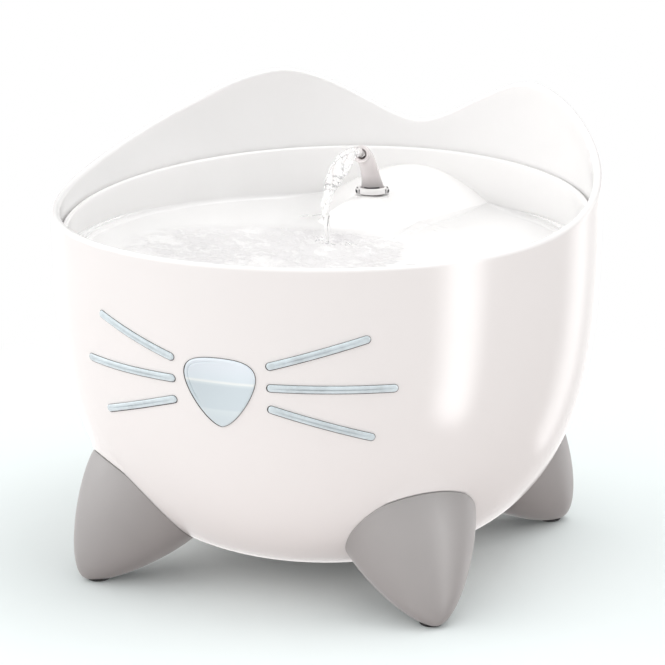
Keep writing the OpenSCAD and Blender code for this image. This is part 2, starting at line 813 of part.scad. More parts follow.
// Drinking dish: tilted edge, hill with the spout's socket, drain slots at the front
module drinking_dish() color("whitesmoke") {
    inner_r = dish_r - dish_wall;
    top_z = dish_edge_z + 30;
    under_z = dish_floor_z - dish_wall;
    section = [
        [0, under_z], [ledge_r - 3, under_z], [ledge_r - 1, under_z - 2], [ledge_r - 1, ledge_z],
        [dish_r - 4, ledge_z], [dish_r, ledge_z + 13], [dish_r, top_z], [inner_r, top_z],
        [inner_r, dish_floor_z + 7], [inner_r - 1, dish_floor_z + 3.4], [inner_r - 3.4, dish_floor_z + 1],
        [inner_r - 7, dish_floor_z], [0, dish_floor_z]
    ];
    difference() {
        union() {
            rotate_extrude()
                polygon(section);
            intersection() {
                hill(0, under_z + 0.6, 24, 22);
                cylinder(r = dish_r - 1, h = 200);
            }
            translate([0, spout_y, socket_low_z])
                cylinder(r = socket_r + socket_wall, h = hill_spout_z - socket_low_z);
        }
        difference() {
            intersection() {
                hill(dish_wall, socket_low_z, 12, 12);
                cylinder(r = inner_r - 2.5, h = 200);
            }
            translate([0, spout_y, 0])
                cylinder(r = socket_r + socket_wall, h = 200);
        }
        translate([0, spout_y, 0])
            cylinder(r = socket_r, h = 200, $fn = 64);
        rotate([dish_tilt, 0, 0])
            translate([-200, -200, dish_edge_z])
                cube([400, 400, 100]);
        for (i = [0:drain_count - 1])
            rotate([0, 0, (i - (drain_count - 1) / 2) * drain_step]) {
                translate([-drain_w / 2, -dish_r - 5, dish_floor_z + 2])
                    cube([drain_w, 15, dish_drain_z - dish_floor_z - 2]);
                translate([-drain_w / 2, -dish_r - 5, ledge_z - 5])
                    cube([drain_w, 6.4, dish_drain_z - ledge_z + 5]);
            }
    }
}

// Ring round the foot of the spout
module spout_collar() color("gainsboro") {
    translate([0, spout_y, collar_z])
        rotate_extrude($fn = 64)
            polygon(concat([[socket_r + 0.2, 0], [collar_r, 0]],
                [for (a = [0:30:90]) [collar_r - 1 + cos(a), 1.6 + sin(a)]], [[socket_r + 0.2, 2.2]]));
}

// Spout: spigot in the socket, tapered stem, bend, and mouth towards the front
module spout() color("gainsboro") {
    bend_z = mouth_z - bend_r;
    spigot_r = socket_r - running_gap;
    translate([0, spout_y, 0])
        difference() {
            union() {
                rotate_extrude($fn = 64)
                    polygon([[0, spout_low_z], [spigot_r - 0.5, spout_low_z], [spigot_r, spout_low_z + 0.8],
                        [spigot_r, seal_z - seal_r], [spigot_r - seal_r, seal_z - seal_r],
                        [spigot_r - seal_r, seal_z + seal_r], [spigot_r, seal_z + seal_r], [spigot_r, collar_z],
                        [stem_r, collar_z + 0.6], [neck_r, bend_z], [0, bend_z]]);
                spout_bend(bend_z, neck_r, 0);
                spout_mouth(neck_r, 0);
            }
            translate([0, 0, spout_low_z - 1])
                cylinder(r = spout_bore_r, h = bend_z - spout_low_z + 1 + eps, $fn = 48);
            spout_bend(bend_z, spout_bore_r, eps);
            spout_mouth(spout_bore_r, 1);
        }
}

// Quarter bend from upright to forward, in the middle plane
module spout_bend(z, r, overlap) {
    translate([0, -bend_r, z])
        rotate([90, 0, 90])
            rotate([0, 0, -overlap])
                rotate_extrude(angle = 90 + 2 * overlap, $fn = 64)
                    translate([bend_r, 0])
                        circle(r, $fn = 48);
}

module spout_mouth(r, past) {
    translate([0, -bend_r + eps, mouth_z])
        rotate([90, 0, 0])
            cylinder(r = r, h = mouth_reach - bend_r + past + eps, $fn = 48);
}

// Sealing ring in the groove of the spigot
module spout_seal() color("black") {
    ring_r = socket_r - running_gap - seal_r + 0.02;
    translate([0, spout_y, seal_z])
        rotate_extrude($fn = 64)
            polygon([[ring_r, -0.7], [ring_r + 0.6, -0.7], [ring_r + 0.87, -0.3], [ring_r + 0.87, 0.3],
                [ring_r + 0.6, 0.7], [ring_r, 0.7]]);
}

reservoir_bowl();
nose_window();
whisker_upper_left();
whisker_middle_left();
whisker_lower_left();
whisker_upper_right();
whisker_middle_right();
whisker_lower_right();
foot_front_left();
foot_front_right();
foot_rear_left();
foot_rear_right();
pad_front_left();
pad_front_right();
pad_rear_left();
pad_rear_right();
foot_screws();
cable_grommet();
pump_housing();
pump_faceplate();
pump_stator();
rotor_shaft();
bush_front();
bush_rear();
suction_cups();
riser_tube();
light_board();
light_lens();
pump_cable_gland();
rotor_magnet();
impeller();
filter_hood();
cartridge_frame();
cartridge_foam();
cartridge_carbon();
cartridge_resin();
drinking_dish();
spout_collar();
spout();
spout_seal();
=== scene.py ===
import bpy
import bmesh
import math
import random
import numpy as np
from bpy.props import FloatProperty, FloatVectorProperty, IntProperty, PointerProperty
from mathutils import Matrix, Vector, noise


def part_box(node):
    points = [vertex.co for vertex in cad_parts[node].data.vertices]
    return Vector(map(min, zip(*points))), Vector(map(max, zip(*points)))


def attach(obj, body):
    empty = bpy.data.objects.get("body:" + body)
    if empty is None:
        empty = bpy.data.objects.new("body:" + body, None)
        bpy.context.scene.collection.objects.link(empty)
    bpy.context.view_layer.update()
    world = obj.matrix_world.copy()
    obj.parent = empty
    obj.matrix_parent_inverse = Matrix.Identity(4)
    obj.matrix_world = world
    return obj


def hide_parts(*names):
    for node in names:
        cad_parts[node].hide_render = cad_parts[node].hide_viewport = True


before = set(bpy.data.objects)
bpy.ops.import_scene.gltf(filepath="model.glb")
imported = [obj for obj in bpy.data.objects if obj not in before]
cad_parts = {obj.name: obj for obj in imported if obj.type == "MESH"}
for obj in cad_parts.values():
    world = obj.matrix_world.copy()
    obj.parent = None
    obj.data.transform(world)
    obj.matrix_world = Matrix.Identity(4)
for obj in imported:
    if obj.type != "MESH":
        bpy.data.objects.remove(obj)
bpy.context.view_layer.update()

bl_info = {
    "name": "Pet water fountain",
    "version": (1, 0, 0),
    "blender": (4, 5, 0),
    "location": "3D View > Sidebar > Fountain",
    "description": "Builds a round pet drinking fountain with a cat face, and a plain studio for it",
    "category": "Add Mesh",
}

MM = 0.001


# ---------------------------------------------------------------- settings

def length(title, text, value):
    return FloatProperty(name=title, description=text, default=value, subtype="DISTANCE", unit="LENGTH")


def angle(title, text, degrees):
    return FloatProperty(name=title, description=text, default=math.radians(degrees), subtype="ANGLE",
        unit="ROTATION")


def colour(title, text, value):
    return FloatVectorProperty(name=title, description=text, default=value, size=3, min=0.0, max=1.0,
        subtype="COLOR")


class FountainSizes(bpy.types.PropertyGroup):
    """Sizes of the fountain's pieces"""

    bowl_radius: length("Bowl radius", "Outer radius of the bowl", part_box("reservoir_bowl")[1][0])
    bowl_low: length("Bowl bottom", "Height of the bowl's lowest point", 0.0057)
    shoulder: length("Shoulder", "Height where the bowl's side would become upright", 0.1672)
    wall: length("Wall", "Thickness of the bowl", 0.003)
    lip: length("Lip", "Thickness of the rounded rim", 0.0034)
    rim_front: length("Front rim", "Height of the rim over the face", 0.1504)
    ear_tip: length("Ear tips", "Height of the ear tips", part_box("reservoir_bowl")[1][2])
    ear_dip: length("Dip between the ears", "Height of the dip at the back", 0.1684)
    ear_side: length("Ear distance", "Distance of an ear tip from the middle", 0.0629)
    whisker: length("Whisker width", "Width of a whisker window", 0.0034)
    proud: length("Window height", "How far the face windows stand proud", 0.0009)
    dish_edge: length("Dish edge", "Height of the dish edge at the sides", 0.1465)
    dish_tilt: angle("Dish tilt", "Slope of the dish edge from front to back", 4.65)
    dish_floor: length("Dish floor", "Height of the dish floor", 0.1246)
    water: length("Water level", "Height of the water in the dish", 0.1342)
    ripple: length("Ripple height", "Height of the ripples where the water falls", 0.0009)
    spout_back: length("Spout position", "Distance of the spout behind the middle", 0.0544)
    mouth: length("Mouth height", "Height of the middle of the spout's mouth", 0.1654)
    segments: IntProperty(name="Segments", description="Steps round the bowl and the dish",
        default=384, min=96, max=768)


class FountainColours(bpy.types.PropertyGroup):
    """Colours of the fountain's finishes"""

    shell: colour("Bowl", "Glossy white plastic of the bowl", (0.885, 0.882, 0.879))
    dish: colour("Dish", "Glossy white plastic of the dish", (0.90, 0.895, 0.89))
    foot: colour("Feet", "Satin grey plastic of the feet", (0.388, 0.381, 0.38))
    window: colour("Windows", "Icy blue of the face windows", (0.69, 0.795, 0.84))
    spout: colour("Spout", "Pale plastic of the spout", (0.78, 0.74, 0.74))
    water: colour("Water", "Tint of the water", (0.995, 0.995, 0.995))
    seal: colour("Seals", "Dark rubber of seals and pads", (0.03, 0.03, 0.032))


class FountainStage(bpy.types.PropertyGroup):
    """Camera of the studio"""

    distance: length("Distance", "Distance of the camera from its target", 1.164)
    azimuth: angle("Azimuth", "Angle of the camera to the face's right", 21.803)
    elevation: angle("Elevation", "Angle of the camera above the floor", 14.756)
    roll: angle("Roll", "Turn of the camera about its own axis", -0.263)
    lens: FloatProperty(name="Lens", description="Focal length in millimetres", default=148.15)
    shift: FloatVectorProperty(name="Shift", description="Shift of the picture, sideways and upwards",
        default=(0.0084, 0.0014), size=2)
    target: length("Target height", "Height that the camera looks at", 0.09489)


def sizes():
    return bpy.context.scene.fountain_sizes


def colours():
    return bpy.context.scene.fountain_colours


def mm(value):
    return value / MM


# ---------------------------------------------------------------- curves

def bezier(points, count):
    """count + 1 points along a cubic Bezier curve"""
    t = np.linspace(0, 1, count + 1)[:, None]
    p = [np.array(q, float) for q in points]
    return (1 - t) ** 3 * p[0] + 3 * (1 - t) ** 2 * t * p[1] + 3 * (1 - t) * t ** 2 * p[2] + t ** 3 * p[3]


# Exponents of the bowl's section, a superellipse
SECTION_OUT = 0.674
SECTION_UP = 0.604

# The rim's wave from its front to its ears: places of the Bezier points from front to back
WAVE_Y = (-90, 45.1, 76.2, 98.9)
# The dip between the ears: places of its two inner Bezier points, as shares of the way to an ear tip
DIP_X = (0.26, 0.64)
EARS_BEHIND = 40
RIM_STEPS = 160


def bowl_radius_at(z, radius, low):
    """Radius of the bowl's section at height z"""
    shoulder = mm(sizes().shoulder)
    if z >= shoulder:
        return radius
    c = max(0.0, min(1.0, (shoulder - z) / (shoulder - low))) ** (1 / SECTION_UP)
    return radius * (1 - c * c) ** (SECTION_OUT / 2)


def bowl_section(radius, low, top, rows):
    """Points (r, z) of the section from beside the axis up to a height, closer together where it curves"""
    shoulder = mm(sizes().shoulder)
    last = math.acos(max(0.0, (shoulder - top) / (shoulder - low)) ** (1 / SECTION_UP))
    out = []
    for i in range(1, rows + 1):
        a = last * (i / rows) ** 2
        z = shoulder - (shoulder - low) * math.cos(a) ** SECTION_UP
        out.append((radius * math.sin(a) ** SECTION_OUT, z))
    return out


def grown_bowl(grow):
    """Radius and lowest point of the bowl's outer surface, grown by an amount"""
    return mm(sizes().bowl_radius) + grow, mm(sizes().bowl_low) - grow


def rim_height(theta):
    """Height of the rim's crest at an angle from the middle of the face"""
    s = sizes()
    mid = mm(s.bowl_radius) - mm(s.lip) / 2
    front, tip, dip, side = mm(s.rim_front), mm(s.ear_tip), mm(s.ear_dip), mm(s.ear_side)
    wave = bezier(list(zip(WAVE_Y, (front, front, tip, tip))), RIM_STEPS)
    x, y = mid * math.sin(theta), -mid * math.cos(theta)
    z = float(np.interp(y, wave[:, 0], wave[:, 1]))
    if y > EARS_BEHIND and abs(x) < side:
        valley = bezier([(0, dip), (DIP_X[0] * side, dip), (DIP_X[1] * side, tip), (side, tip)], RIM_STEPS)
        z = min(z, float(np.interp(abs(x), valley[:, 0], valley[:, 1])))
    return z


# ---------------------------------------------------------------- meshes

def add_object(name, data):
    """New object in the scene, with the data of a mesh, a lamp or a camera"""
    obj = bpy.data.objects.new(name, data)
    bpy.context.scene.collection.objects.link(obj)
    return obj


def make(name, verts, faces, smooth=30.0):
    """Mesh object from points in millimetres, with smooth shading below an angle"""
    mesh = bpy.data.meshes.new(name)
    mesh.from_pydata([(v[0] * MM, v[1] * MM, v[2] * MM) for v in verts], [], faces)
    bm = bmesh.new()
    bm.from_mesh(mesh)
    bmesh.ops.recalc_face_normals(bm, faces=bm.faces)
    bm.to_mesh(mesh)
    bm.free()
    obj = add_object(name, mesh)
    shade(obj, smooth)
    return obj


def shade(obj, smooth):
    """Smooth shading, with sharp edges where faces meet at more than an angle"""
    obj.data.shade_smooth()
    obj.data.set_sharp_from_angle(angle=math.radians(smooth))


def ring_faces(a, b, count):
    """Quads between two rings of count points that start at a and b"""
    return [(a + i, a + (i + 1) % count, b + (i + 1) % count, b + i) for i in range(count)]


def grid_of_rings(rings, start_pole=None, end_pole=None, closed=False):
    """Points and faces of rings laid one after the other, with a pole at either end or closed on itself"""
    count = len(rings[0])
    verts, faces = [], []
    for ring in rings:
        verts.extend(ring)
    for k in range(len(rings) - 1):
        faces += ring_faces(k * count, (k + 1) * count, count)
    if closed:
        faces += ring_faces((len(rings) - 1) * count, 0, count)
    last = (len(rings) - 1) * count
    if start_pole is not None:
        verts.append(start_pole)
        faces += [(len(verts) - 1, (i + 1) % count, i) for i in range(count)]
    if end_pole is not None:
        verts.append(end_pole)
        faces += [(len(verts) - 1, last + i, last + (i + 1) % count) for i in range(count)]
    return verts, faces


def rings_across(columns):
    """Rings across columns of points (r, z) that stand side by side round the axis, from the face on"""
    count = len(columns)
    turned = []
    for k, column in enumerate(columns):
        theta = 2 * math.pi * k / count
        turned.append([(r * math.sin(theta), -r * math.cos(theta), z) for r, z in column])
    return list(zip(*turned))


def lathe(name, profile, steps, place=None, smooth=30.0):
    """Turned solid from (r, z) points; a radius of zero at an end makes a pole there"""
    start = (0, 0, profile[0][1]) if profile[0][0] == 0 else None
    end = (0, 0, profile[-1][1]) if profile[-1][0] == 0 else None
    rows = [p for p in profile if p[0] > 0]
    turn = [2 * math.pi * i / steps for i in range(steps)]
    rings = [[(r * math.cos(t), r * math.sin(t), z) for t in turn] for r, z in rows]
    verts, faces = grid_of_rings(rings, start, end, closed=start is None and end is None)
    if place is not None:
        verts = [place @ Vector(v) for v in verts]
    return make(name, verts, faces, smooth)


def bent_bar(name, section, turn, behind=0.0):
    """Bar of a closed section (r, z) along angles round an upright axis behind the middle, with flat ends"""
    rings = [[(r * math.cos(t), behind + r * math.sin(t), z) for r, z in section] for t in turn]
    verts, faces = grid_of_rings(rings)
    size = len(section)
    last = (len(turn) - 1) * size
    faces += [tuple(range(size)), tuple(range(last + size - 1, last - 1, -1))]
    return make(name, verts, faces)


def prism(name, outline, low, high, place):
    """Straight prism of a flat outline between two heights of its own frame"""
    count = len(outline)
    verts = [place @ Vector((x, y, z)) for z in (low, high) for x, y in outline]
    faces = [tuple(range(count - 1, -1, -1)), tuple(range(count, 2 * count))] + ring_faces(0, count, count)
    return make(name, verts, faces)


def block(name, low, high, place=None):
    """Box between two corners"""
    outline = [(low[0], low[1]), (high[0], low[1]), (high[0], high[1]), (low[0], high[1])]
    return prism(name, outline, low[2], high[2], place or Matrix())


def join(objects):
    """The first object with the meshes of the others added to it"""
    first = objects[0]
    bm = bmesh.new()
    for obj in objects:
        bm.from_mesh(obj.data)
    bm.to_mesh(first.data)
    bm.free()
    for obj in objects[1:]:
        bpy.data.objects.remove(obj)
    return first


def combine(target, tool, operation, smooth=30.0):
    """Boolean of two closed solids; the tool is used up"""
    step = target.modifiers.new("combine", "BOOLEAN")
    step.object = tool
    step.operation = operation
    step.solver = "MANIFOLD"
    bpy.context.view_layer.update()
    graph = bpy.context.evaluated_depsgraph_get()
    mesh = bpy.data.meshes.new_from_object(target.evaluated_get(graph))
    if not mesh.polygons:
        raise RuntimeError(f"{operation} left nothing of {target.name}")
    target.modifiers.clear()
    target.data = mesh
    bpy.data.objects.remove(tool)
    shade(target, smooth)
    return target


def sweep(name, path, radii, steps, smooth, inner=None):
    """Round tube along a path, solid or with an inner radius at each point"""
    points = [Vector(p) for p in path]
    tangents = []
    for i in range(len(points)):
        a, b = points[max(i - 1, 0)], points[min(i + 1, len(points) - 1)]
        tangents.append((b - a).normalized())
    side = Vector((1, 0, 0))
    side = (side - tangents[0] * side.dot(tangents[0])).normalized()
    sides = []
    for t in tangents:
        side = (side - t * side.dot(t)).normalized()
        sides.append(side.copy())

    def ring(i, r):
        up = tangents[i].cross(sides[i])
        turn = [2 * math.pi * k / steps for k in range(steps)]
        return [points[i] + (sides[i] * math.cos(a) + up * math.sin(a)) * r for a in turn]

    rings = [ring(i, r) for i, r in enumerate(radii)]
    if inner is None:
        verts, faces = grid_of_rings(rings, points[0], points[-1])
    else:
        rings += [ring(i, inner[i]) for i in range(len(points) - 1, -1, -1)]
        verts, faces = grid_of_rings(rings, closed=True)
    return make(name, verts, faces, smooth)


def settle(obj, look, body, slot, *nodes):
    """obj gets a finish, rides on a body and stands for CAD nodes; slot is not used"""
    paint(obj, finish(look))
    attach(obj, body)
    if nodes:
        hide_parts(*nodes)


def paint(obj, material):
    obj.data.materials.clear()
    obj.data.materials.append(material)


def paint_nodes(look, *names):
    """CAD nodes that keep their own shape get a finish"""
    for name in names:
        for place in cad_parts[name].material_slots:
            place.material = finish(look)


# ---------------------------------------------------------------- finishes

class Finish:
    """A node material with a principled shader, built step by step; base is a colour or a setting's name"""

    def __init__(self, name, base, roughness, sockets):
        self.material = bpy.data.materials.new(name)
        self.material.use_nodes = True
        self.tree = self.material.node_tree
        self.shader = self.tree.nodes["Principled BSDF"]
        if isinstance(base, str):
            base = getattr(colours(), base)
        self.base = tuple(base) + (1.0,)
        self.shader.inputs["Base Color"].default_value = self.base
        self.shader.inputs["Roughness"].default_value = roughness
        for key, value in sockets.items():
            self.shader.inputs[key].default_value = value
        self.where = self.node("ShaderNodeTexCoord").outputs["Object"]
        self.bump_normal = None

    def node(self, kind, **settings):
        n = self.tree.nodes.new(kind)
        for key, value in settings.items():
            setattr(n, key, value)
        return n

    def link(self, a, b):
        self.tree.links.new(a, b)

    def noise(self, scale, detail, rough, stretch=None):
        n = self.node("ShaderNodeTexNoise")
        n.inputs["Scale"].default_value = scale
        n.inputs["Detail"].default_value = detail
        n.inputs["Roughness"].default_value = rough
        source = self.where
        if stretch:
            m = self.node("ShaderNodeMapping")
            m.inputs["Scale"].default_value = stretch
            self.link(source, m.inputs["Vector"])
            source = m.outputs["Vector"]
        self.link(source, n.inputs["Vector"])
        return n.outputs["Fac"]

    def cells(self, scale):
        n = self.node("ShaderNodeTexVoronoi")
        n.inputs["Scale"].default_value = scale
        self.link(self.where, n.inputs["Vector"])
        return n.outputs["Distance"]

    def remap(self, value, low, high, to_low, to_high):
        n = self.node("ShaderNodeMapRange")
        for key, v in zip(("From Min", "From Max", "To Min", "To Max"), (low, high, to_low, to_high)):
            n.inputs[key].default_value = v
        self.link(value, n.inputs["Value"])
        return n.outputs["Result"]

    def ramp(self, value, stops):
        n = self.node("ShaderNodeValToRGB")
        ramp = n.color_ramp
        while len(ramp.elements) < len(stops):
            ramp.elements.new(0.5)
        for element, (place, tone) in zip(ramp.elements, stops):
            element.position = place
            element.color = tuple(tone) + (1.0,)
        self.link(value, n.inputs["Fac"])
        return n.outputs["Color"]

    def colour_from(self, value, *shades):
        """Base colour blended between shades of the base by a value from 0.3 to 0.7"""
        count = len(shades) - 1
        stops = [(0.3 + 0.4 * i / count, tuple(min(1.0, c * tone) for c in self.base[:3]))
            for i, tone in enumerate(shades)]
        self.link(self.ramp(value, stops), self.shader.inputs["Base Color"])

    def roughness_from(self, value, low, high):
        """Roughness between two limits by a value from 0.3 to 0.7"""
        self.link(self.remap(value, 0.3, 0.7, low, high), self.shader.inputs["Roughness"])

    def bump(self, value, depth, strength):
        """Relief of a depth in metres, on top of any relief before it"""
        n = self.node("ShaderNodeBump")
        n.inputs["Strength"].default_value = strength
        n.inputs["Distance"].default_value = depth
        self.link(value, n.inputs["Height"])
        if self.bump_normal is not None:
            self.link(self.bump_normal, n.inputs["Normal"])
        self.bump_normal = n.outputs["Normal"]
        self.link(self.bump_normal, self.shader.inputs["Normal"])

    def along(self, axis):
        """The place along one axis"""
        n = self.node("ShaderNodeSeparateXYZ")
        self.link(self.where, n.inputs["Vector"])
        return n.outputs[axis]


# Finishes made so far
made = {}


def finish(name):
    """The named finish, made the first time that it is asked for"""
    if name not in made:
        maker, *values = FINISHES[name]
        made[name] = maker(*values).material
    return made[name]


def moulded(name, base, rough, grain=900.0):
    """Moulded glossy plastic: faint flow marks, fine orange peel and a little dust in the gloss"""
    f = Finish(name, base, rough, {"IOR": 1.5})
    flow = f.noise(9.0, 4.0, 0.55, (1, 1, 0.35))
    f.colour_from(flow, 0.985, 1.0, 1.012)
    f.roughness_from(f.noise(38.0, 3.0, 0.5), rough * 0.92, rough * 1.12)
    f.bump(f.noise(grain, 2.0, 0.5), 0.00002, 0.35)
    f.bump(flow, 0.0002, 0.25)
    return f


# Painted light and shade of the nose window from its tip to its top: a painted view of the water line behind
# it, with a painted highlight on it at 0.45
NOSE_PAINTED_LIGHT = [(0.0, (1.0, 1.0, 1.0)), (0.12, (1.02, 1.02, 1.02)), (0.19, (1.07, 1.06, 1.05)),
    (0.21, (0.97, 0.98, 0.99)), (0.42, (0.95, 0.96, 0.97)), (0.443, (1.08, 1.07, 1.06)),
    (0.452, (1.3, 1.22, 1.17)), (0.462, (1.28, 1.2, 1.16)), (0.475, (1.1, 1.09, 1.1)),
    (0.6, (1.16, 1.12, 1.14)), (0.75, (1.18, 1.13, 1.14)), (1.0, (1.06, 1.06, 1.05))]
WINDOW_LOW, WINDOW_HIGH = 0.084, 0.128


def icy_window():
    """Clear icy blue plastic over the water line of the reservoir, which is painted in, with a painted
    highlight on it and painted shade darker towards the left
    """
    f = Finish("icy_window", "window", 0.07, {"IOR": 1.49, "Coat Weight": 0.6, "Coat Roughness": 0.03})
    level = f.remap(f.along("Z"), WINDOW_LOW, WINDOW_HIGH, 0.0, 1.0)
    wander = f.node("ShaderNodeMath", operation="MULTIPLY_ADD")
    f.link(f.noise(30.0, 3.0, 0.5), wander.inputs[0])
    wander.inputs[1].default_value = 0.03
    f.link(level, wander.inputs[2])
    shades = [(p, tuple(min(0.97, c * k) for c, k in zip(f.base, mult))) for p, mult in NOSE_PAINTED_LIGHT]
    # painted shade: the window is darker towards the left and lighter towards the right
    across = f.remap(f.along("X"), -0.013, 0.010, 0.90, 1.04)
    shaded = f.node("ShaderNodeVectorMath", operation="SCALE")
    f.link(f.ramp(wander.outputs[0], shades), shaded.inputs[0])
    f.link(across, shaded.inputs["Scale"])
    f.link(shaded.outputs["Vector"], f.shader.inputs["Base Color"])
    f.bump(f.noise(120.0, 2.0, 0.5), 0.00008, 0.25)
    return f


# Painted shade on the spout: how much darker its colour is made, from the foot of its stem up
STEM_SHADE = [(0.0, 0.36), (0.12, 0.46), (0.3, 0.66), (0.55, 0.88), (1.0, 1.0)]
STEM_SHADE_LOW, STEM_SHADE_HIGH = 0.147, 0.160


def pale_spout():
    """Pale plastic, dull, with painted shade low on the stem"""
    f = moulded("pale_spout", "spout", 0.2, grain=1600.0)
    red, green, blue = f.base[:3]
    # painted shade: the stem's colour darkens towards its foot
    level = f.remap(f.along("Z"), STEM_SHADE_LOW, STEM_SHADE_HIGH, 0.0, 1.0)
    stops = [(p, (red * k, green * k * 0.99, blue * k * 0.985)) for p, k in STEM_SHADE]
    f.link(f.ramp(level, stops), f.shader.inputs["Base Color"])
    return f


# Position and scale that make a unit circle of the oval where the pool is ruffled
PATCH_SHIFT = (0.3125, 0.3333, 0.0)
PATCH_SCALE = (15.625, 23.81, 0.0)
# Painted light and shade in the water's tint: thin bright and dark veins that stand for the caustics and
# reflections that ripples draw on the dish floor
PAINTED_CAUSTICS = [(0.0, (1, 1, 1)), (0.40, (1, 1, 1)), (0.43, (0.84, 0.83, 0.84)), (0.485, (0.76, 0.75, 0.76)),
    (0.5, (1, 1, 1)), (0.52, (0.8, 0.79, 0.8)), (0.6, (0.86, 0.85, 0.86)), (0.63, (1, 1, 1))]


def water_finish():
    """Clear water that lets light through to what is under it, with painted light and shade of the ripples in
    its tint
    """
    f = Finish("clear_water", "water", 0.015, {"IOR": 1.333, "Transmission Weight": 1.0})
    place = f.node("ShaderNodeMapping")
    place.inputs["Location"].default_value = PATCH_SHIFT
    place.inputs["Scale"].default_value = PATCH_SCALE
    f.link(f.where, place.inputs["Vector"])
    away = f.node("ShaderNodeVectorMath", operation="LENGTH")
    f.link(place.outputs["Vector"], away.inputs[0])
    # the ruffled patch gets painted caustics and reflections as veins in the water's tint
    patch = f.remap(away.outputs["Value"], 0.82, 1.04, 1.0, 0.0)
    painted_veins = f.ramp(f.noise(30.0, 5.0, 0.62, (0.65, 1.0, 0.0)), PAINTED_CAUSTICS)
    ruffled = f.node("ShaderNodeMix", data_type="RGBA")
    f.link(patch, ruffled.inputs[0])
    ruffled.inputs[6].default_value = f.base
    f.link(painted_veins, ruffled.inputs[7])
    f.link(ruffled.outputs[2], f.shader.inputs["Base Color"])
    f.bump(f.noise(170.0, 3.0, 0.55), 0.00012, 0.3)
    return let_light_through(f)


def falling_finish():
    """Falling water, whitened by the air in it"""
    f = Finish("falling_water", (1.0, 1.0, 1.0), 0.06, {"IOR": 1.31, "Transmission Weight": 0.86})
    f.roughness_from(f.noise(90.0, 3.0, 0.5), 0.02, 0.12)
    f.bump(f.noise(260.0, 3.0, 0.55), 0.0002, 0.3)
    return let_light_through(f)


def let_light_through(f):
    """Light reaches what is under the water"""
    clear = f.node("ShaderNodeBsdfTransparent")
    clear.inputs["Color"].default_value = (0.99, 0.99, 0.99, 1.0)
    mix = f.node("ShaderNodeMixShader")
    out = f.tree.nodes["Material Output"]
    f.link(f.node("ShaderNodeLightPath").outputs["Is Shadow Ray"], mix.inputs[0])
    f.link(f.shader.outputs[0], mix.inputs[1])
    f.link(clear.outputs[0], mix.inputs[2])
    f.link(mix.outputs[0], out.inputs["Surface"])
    return f


def board_green():
    """Circuit board with its copper paths under the lacquer"""
    f = Finish("circuit_board", (0.02, 0.14, 0.06), 0.3, {"IOR": 1.5})
    brick = f.node("ShaderNodeTexBrick")
    brick.inputs["Scale"].default_value = 700.0
    brick.inputs["Color1"].default_value = (0.02, 0.13, 0.05, 1)
    brick.inputs["Color2"].default_value = (0.03, 0.18, 0.07, 1)
    brick.inputs["Mortar"].default_value = (0.35, 0.22, 0.06, 1)
    f.link(f.where, brick.inputs["Vector"])
    f.link(brick.outputs["Color"], f.shader.inputs["Base Color"])
    f.bump(brick.outputs["Fac"], 0.00003, 0.5)
    return f


def grainy(name, base, rough, mottle, gloss, grain, sockets):
    """Finish with mottled colour, uneven gloss and a fine grain, each a noise and then what it does:
    shades of the base, a range of roughness, or the depth and strength of a relief"""
    f = Finish(name, base, rough, sockets)
    if mottle:
        f.colour_from(f.noise(*mottle[0]), *mottle[1])
    if gloss:
        f.roughness_from(f.noise(*gloss[0]), *gloss[1])
    if grain:
        f.bump(f.noise(*grain[0]), *grain[1])
    return f


def granular(name, base, rough, size, shades, relief, sockets):
    """Finish of packed grains or open cells, as many to the metre as size says"""
    f = Finish(name, base, rough, sockets)
    cell = f.cells(size)
    f.colour_from(cell, *shades)
    f.bump(cell, *relief)
    return f


